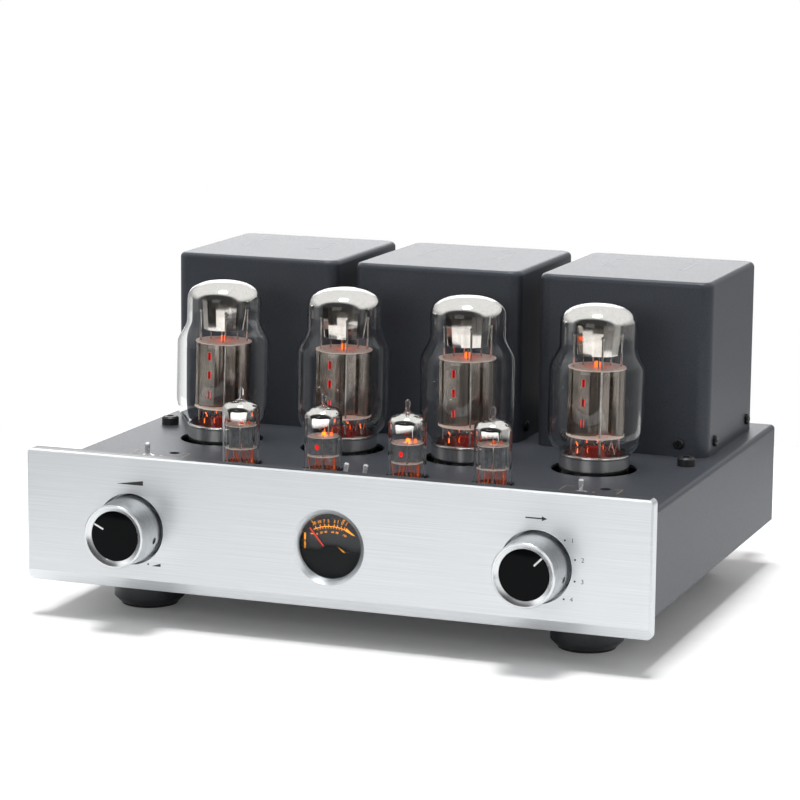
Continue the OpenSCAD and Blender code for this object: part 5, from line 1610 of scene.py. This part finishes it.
@dataclass(kw_only=True)
class SmallTube(Tube):
    """Small tube: a straight bulb with a sealed tip and a mirrored top, over plates between micas.

    A wrapped one has one plate bent round its middle, set lower, with an oval of painted glow on it.
    """

    kind: str = "small"
    shell: str = "plates"
    wrapped: bool
    turn: float = 20.0
    radius: float = 10.5
    wall: float = 0.9
    top: float = 43.0
    dome_drop: float = 12.5
    dome_h: float = 4.8
    dome_flat: float = 2.4
    tip_r: tuple[float, ...] = (3.5, 2.2, 1.6, 1.4, 1.5, 1.45, 1.0, 0.0)
    tip_drop: tuple[float, ...] = (7.6, 6.9, 6.0, 4.2, 2.6, 1.0, 0.3, 0.0)
    flash_edge: float = 27.0
    mica_r: float = 8.8
    mica_z: Pair = (8.6, 21.4)
    mica_mesh: tuple[int, int] = (8, 48)
    mica_painted_glow: Triple = (0.0, 0.7, 4.5)
    wrapped_mica_z: Pair = (8.0, 18.7)
    wrap: Triple = (7.6, 3.4, 3.2)
    box: Line = (
        (-2.9, -4.2, 0.6), (-0.8, -4.2, 0.2), (-0.6, -3.7, 0.2), (0.6, -3.7, 0.2), (0.8, -4.2, 0.2), (2.9, -4.2, 0.6),
        (2.9, 4.2, 0.6), (-2.9, 4.2, 0.6))
    box_aside: float = 3.6
    spot_place: Pair = (-3.4, 12.9)
    spot_r: Pair = (1.1, 1.6)
    pin_l: float = 7.0
    pin_r: float = 0.51
    pin_ring: float = 5.95
    rod_r: float = 0.4
    rod_ring: float = 7.9
    rod_over: float = 2.0
    ring_r: float = 3.0
    ring_z: float = 30.0
    post_r: float = 0.35
    post_top: float = 29.8
    wiring: Wiring = Wiring(8.2, 0.9, 5, 2.2, 3.0, 1.1, -4.2, 12.8)
    lead_count: int = 22
    ends: Line = ((0.4, 1.2, 1.0), (4.4, 0.7, 0.4))
    end_h: float = 1.8
    cold: float = 0.05

    def __post_init__(self) -> None:
        """Set the micas of a wrapped tube lower."""
        self.mica_z = self.wrapped_mica_z if self.wrapped else self.mica_z

    def looks(self) -> list[tuple[Callable[[], Shape], Finish]]:
        """List the method that makes each piece, which is named after it, and the piece's finish.

        Returns:
            The list, in the order of building.
        """
        looks = [(self.plates, PLATE_GREY), (self.bulb, GLASS), (self.mirror, FLASH), (self.pins, STEEL),
                 (self.micas, MICA_PAINTED_GLOW), (self.rods, NICKEL), (self.heater, HOT_WIRE)]
        return looks + [(self.spot, RED_PAINTED_GLOW)] * self.wrapped

    def outline(self, inset: float) -> np.ndarray:
        """Draw the bulb's side: straight, then part of an ellipse, then a drawn tip with a round end.

        Args:
            inset: How far the side is drawn in.

        Returns:
            Radius and height of each point.
        """
        a = np.radians(np.linspace(0, 75, 14))
        dome = np.column_stack([(self.radius - self.dome_flat - inset) * np.cos(a) + self.dome_flat,
                                self.top - self.dome_drop + (self.dome_h - inset) * np.sin(a)])
        tip_r, tip_z = np.array(self.tip_r), self.top - np.array(self.tip_drop)
        tip = np.column_stack([tip_r - np.minimum(inset, tip_r * 0.7), tip_z - 0.6 * inset])
        return np.concatenate([dome, tip])

    def bulb(self) -> Shape:
        """Turn the glass on a foot with a round edge."""
        foot = rounded([[0, self.seat], [self.radius, self.seat, 1.0], [self.radius, 0]])
        return self.glass(foot, self.radius, self.seat + self.floor_t)

    def mirror(self) -> Shape:
        """Turn the metal film in the top's wall: its share falls from whole to none below an edge.

        Returns:
            The film.
        """
        side = self.outline(self.film_depth)
        low = np.linspace(self.flash_edge - 4, self.top - self.dome_drop, 12)
        run = np.column_stack([np.full(12, self.radius - self.film_depth), low])
        film = lathe(np.concatenate([run, side[side[:, 0] > 2.2]]))
        edge = self.flash_edge + 1.2 * self.sway(film, 2)
        return film.with_share(0.5 + (film.points[:, 2] - edge) / 3)

    def plates(self) -> Shape:
        """Raise the plates between the micas: one wrapped plate, or two ribbed boxes.

        Returns:
            The plates.
        """
        if self.wrapped:
            x, y, arc = self.wrap
            line = rounded([[-x, -y, arc], [x, -y, arc], [x, y, arc], [-x, y, arc]], closed=True, steps=12)
            return prism(line, *self.between).spun(self.turn)
        box = prism(rounded(self.box, closed=True), *self.between)
        return join([box.moved(aside).spun(self.turn) for aside in (-self.box_aside, self.box_aside)])

    def spot(self) -> Shape:
        """Lay an oval of painted glow on the front of the wrapped plate."""
        flat = prism(disc(1.0) * np.array(self.spot_r), -0.05, 0.06).facing(Facing.FRONT)
        return flat.moved(self.spot_place[0], -self.wrap[1], self.spot_place[1]).spun(self.turn)

    def pins(self) -> Shape:
        """Set nine pins in ten places under the glass."""
        pin = pillar(self.pin_r, self.seat - self.pin_l, self.seat, 14, foot=0.4)
        return join(pin.moved(self.pin_ring).repeated(9, 36))

    def rods(self) -> Shape:
        """Stand four rods through the micas, and a getter ring on a post above them.

        Returns:
            The rods, the ring and its post.
        """
        rod = pillar(self.rod_r, self.seat + self.floor_t, self.mica_z[1] + self.rod_over).moved(self.rod_ring)
        a = np.linspace(0, 2 * np.pi, 33)
        path = np.column_stack([self.ring_r * np.cos(a), self.ring_r * np.sin(a), np.full(33, self.ring_z)])
        post = pillar(self.post_r, self.mica_z[1], self.post_top).moved(self.ring_r)
        return join(rod.repeated(4, 90, self.turn) + [sweep(path, 0.4, 8, (0, 0, 1)), post])

    def heater(self) -> Shape:
        """Bend hot leads from the pins to the lower mica, and stand two hot ends on the upper one.

        Each lead is brightest at a height of its own, as a bell about it, and one in four is much hotter.

        Returns:
            The leads and the ends.
        """
        shapes = []
        for k in range(self.lead_count):
            lead = self.wire(k, 0.15)
            bright = np.exp(-(lead.points[:, 2] + 2.5 - 1.7 * (k % 6)) ** 2)
            shapes.append(lead.with_share(0.02 + (0.35 if k % 4 == 0 else 0.04) * bright))
        for away, thick, heat in self.ends:
            end = pillar(thick, self.above, self.above + self.end_h, 16, head=0.4)
            glowing = end.with_share(heat if self.wrapped else self.cold)
            shapes.append(glowing.moved(away).spun(self.turn))
        return join(shapes)


def main() -> None:
    """Build the studio and every sub-assembly."""
    logging.basicConfig(level=logging.INFO, format="%(name)s: %(message)s")
    Studio().build()
    Casework().build()
    Feet().build()
    FrontPanel().build()
    for control, pointer in (("volume", 154.0), ("selector", 45.0)):
        Knob(control, pointer).build()
    LevelMeter().build()
    for number, lean in enumerate((1.3, 0.8, 0.0, 0.8), 1):
        PowerTube(number=number, lean=lean).build()
        SmallTube(number=number, wrapped=number in (2, 3)).build()


if __name__ == "__main__":
    main()
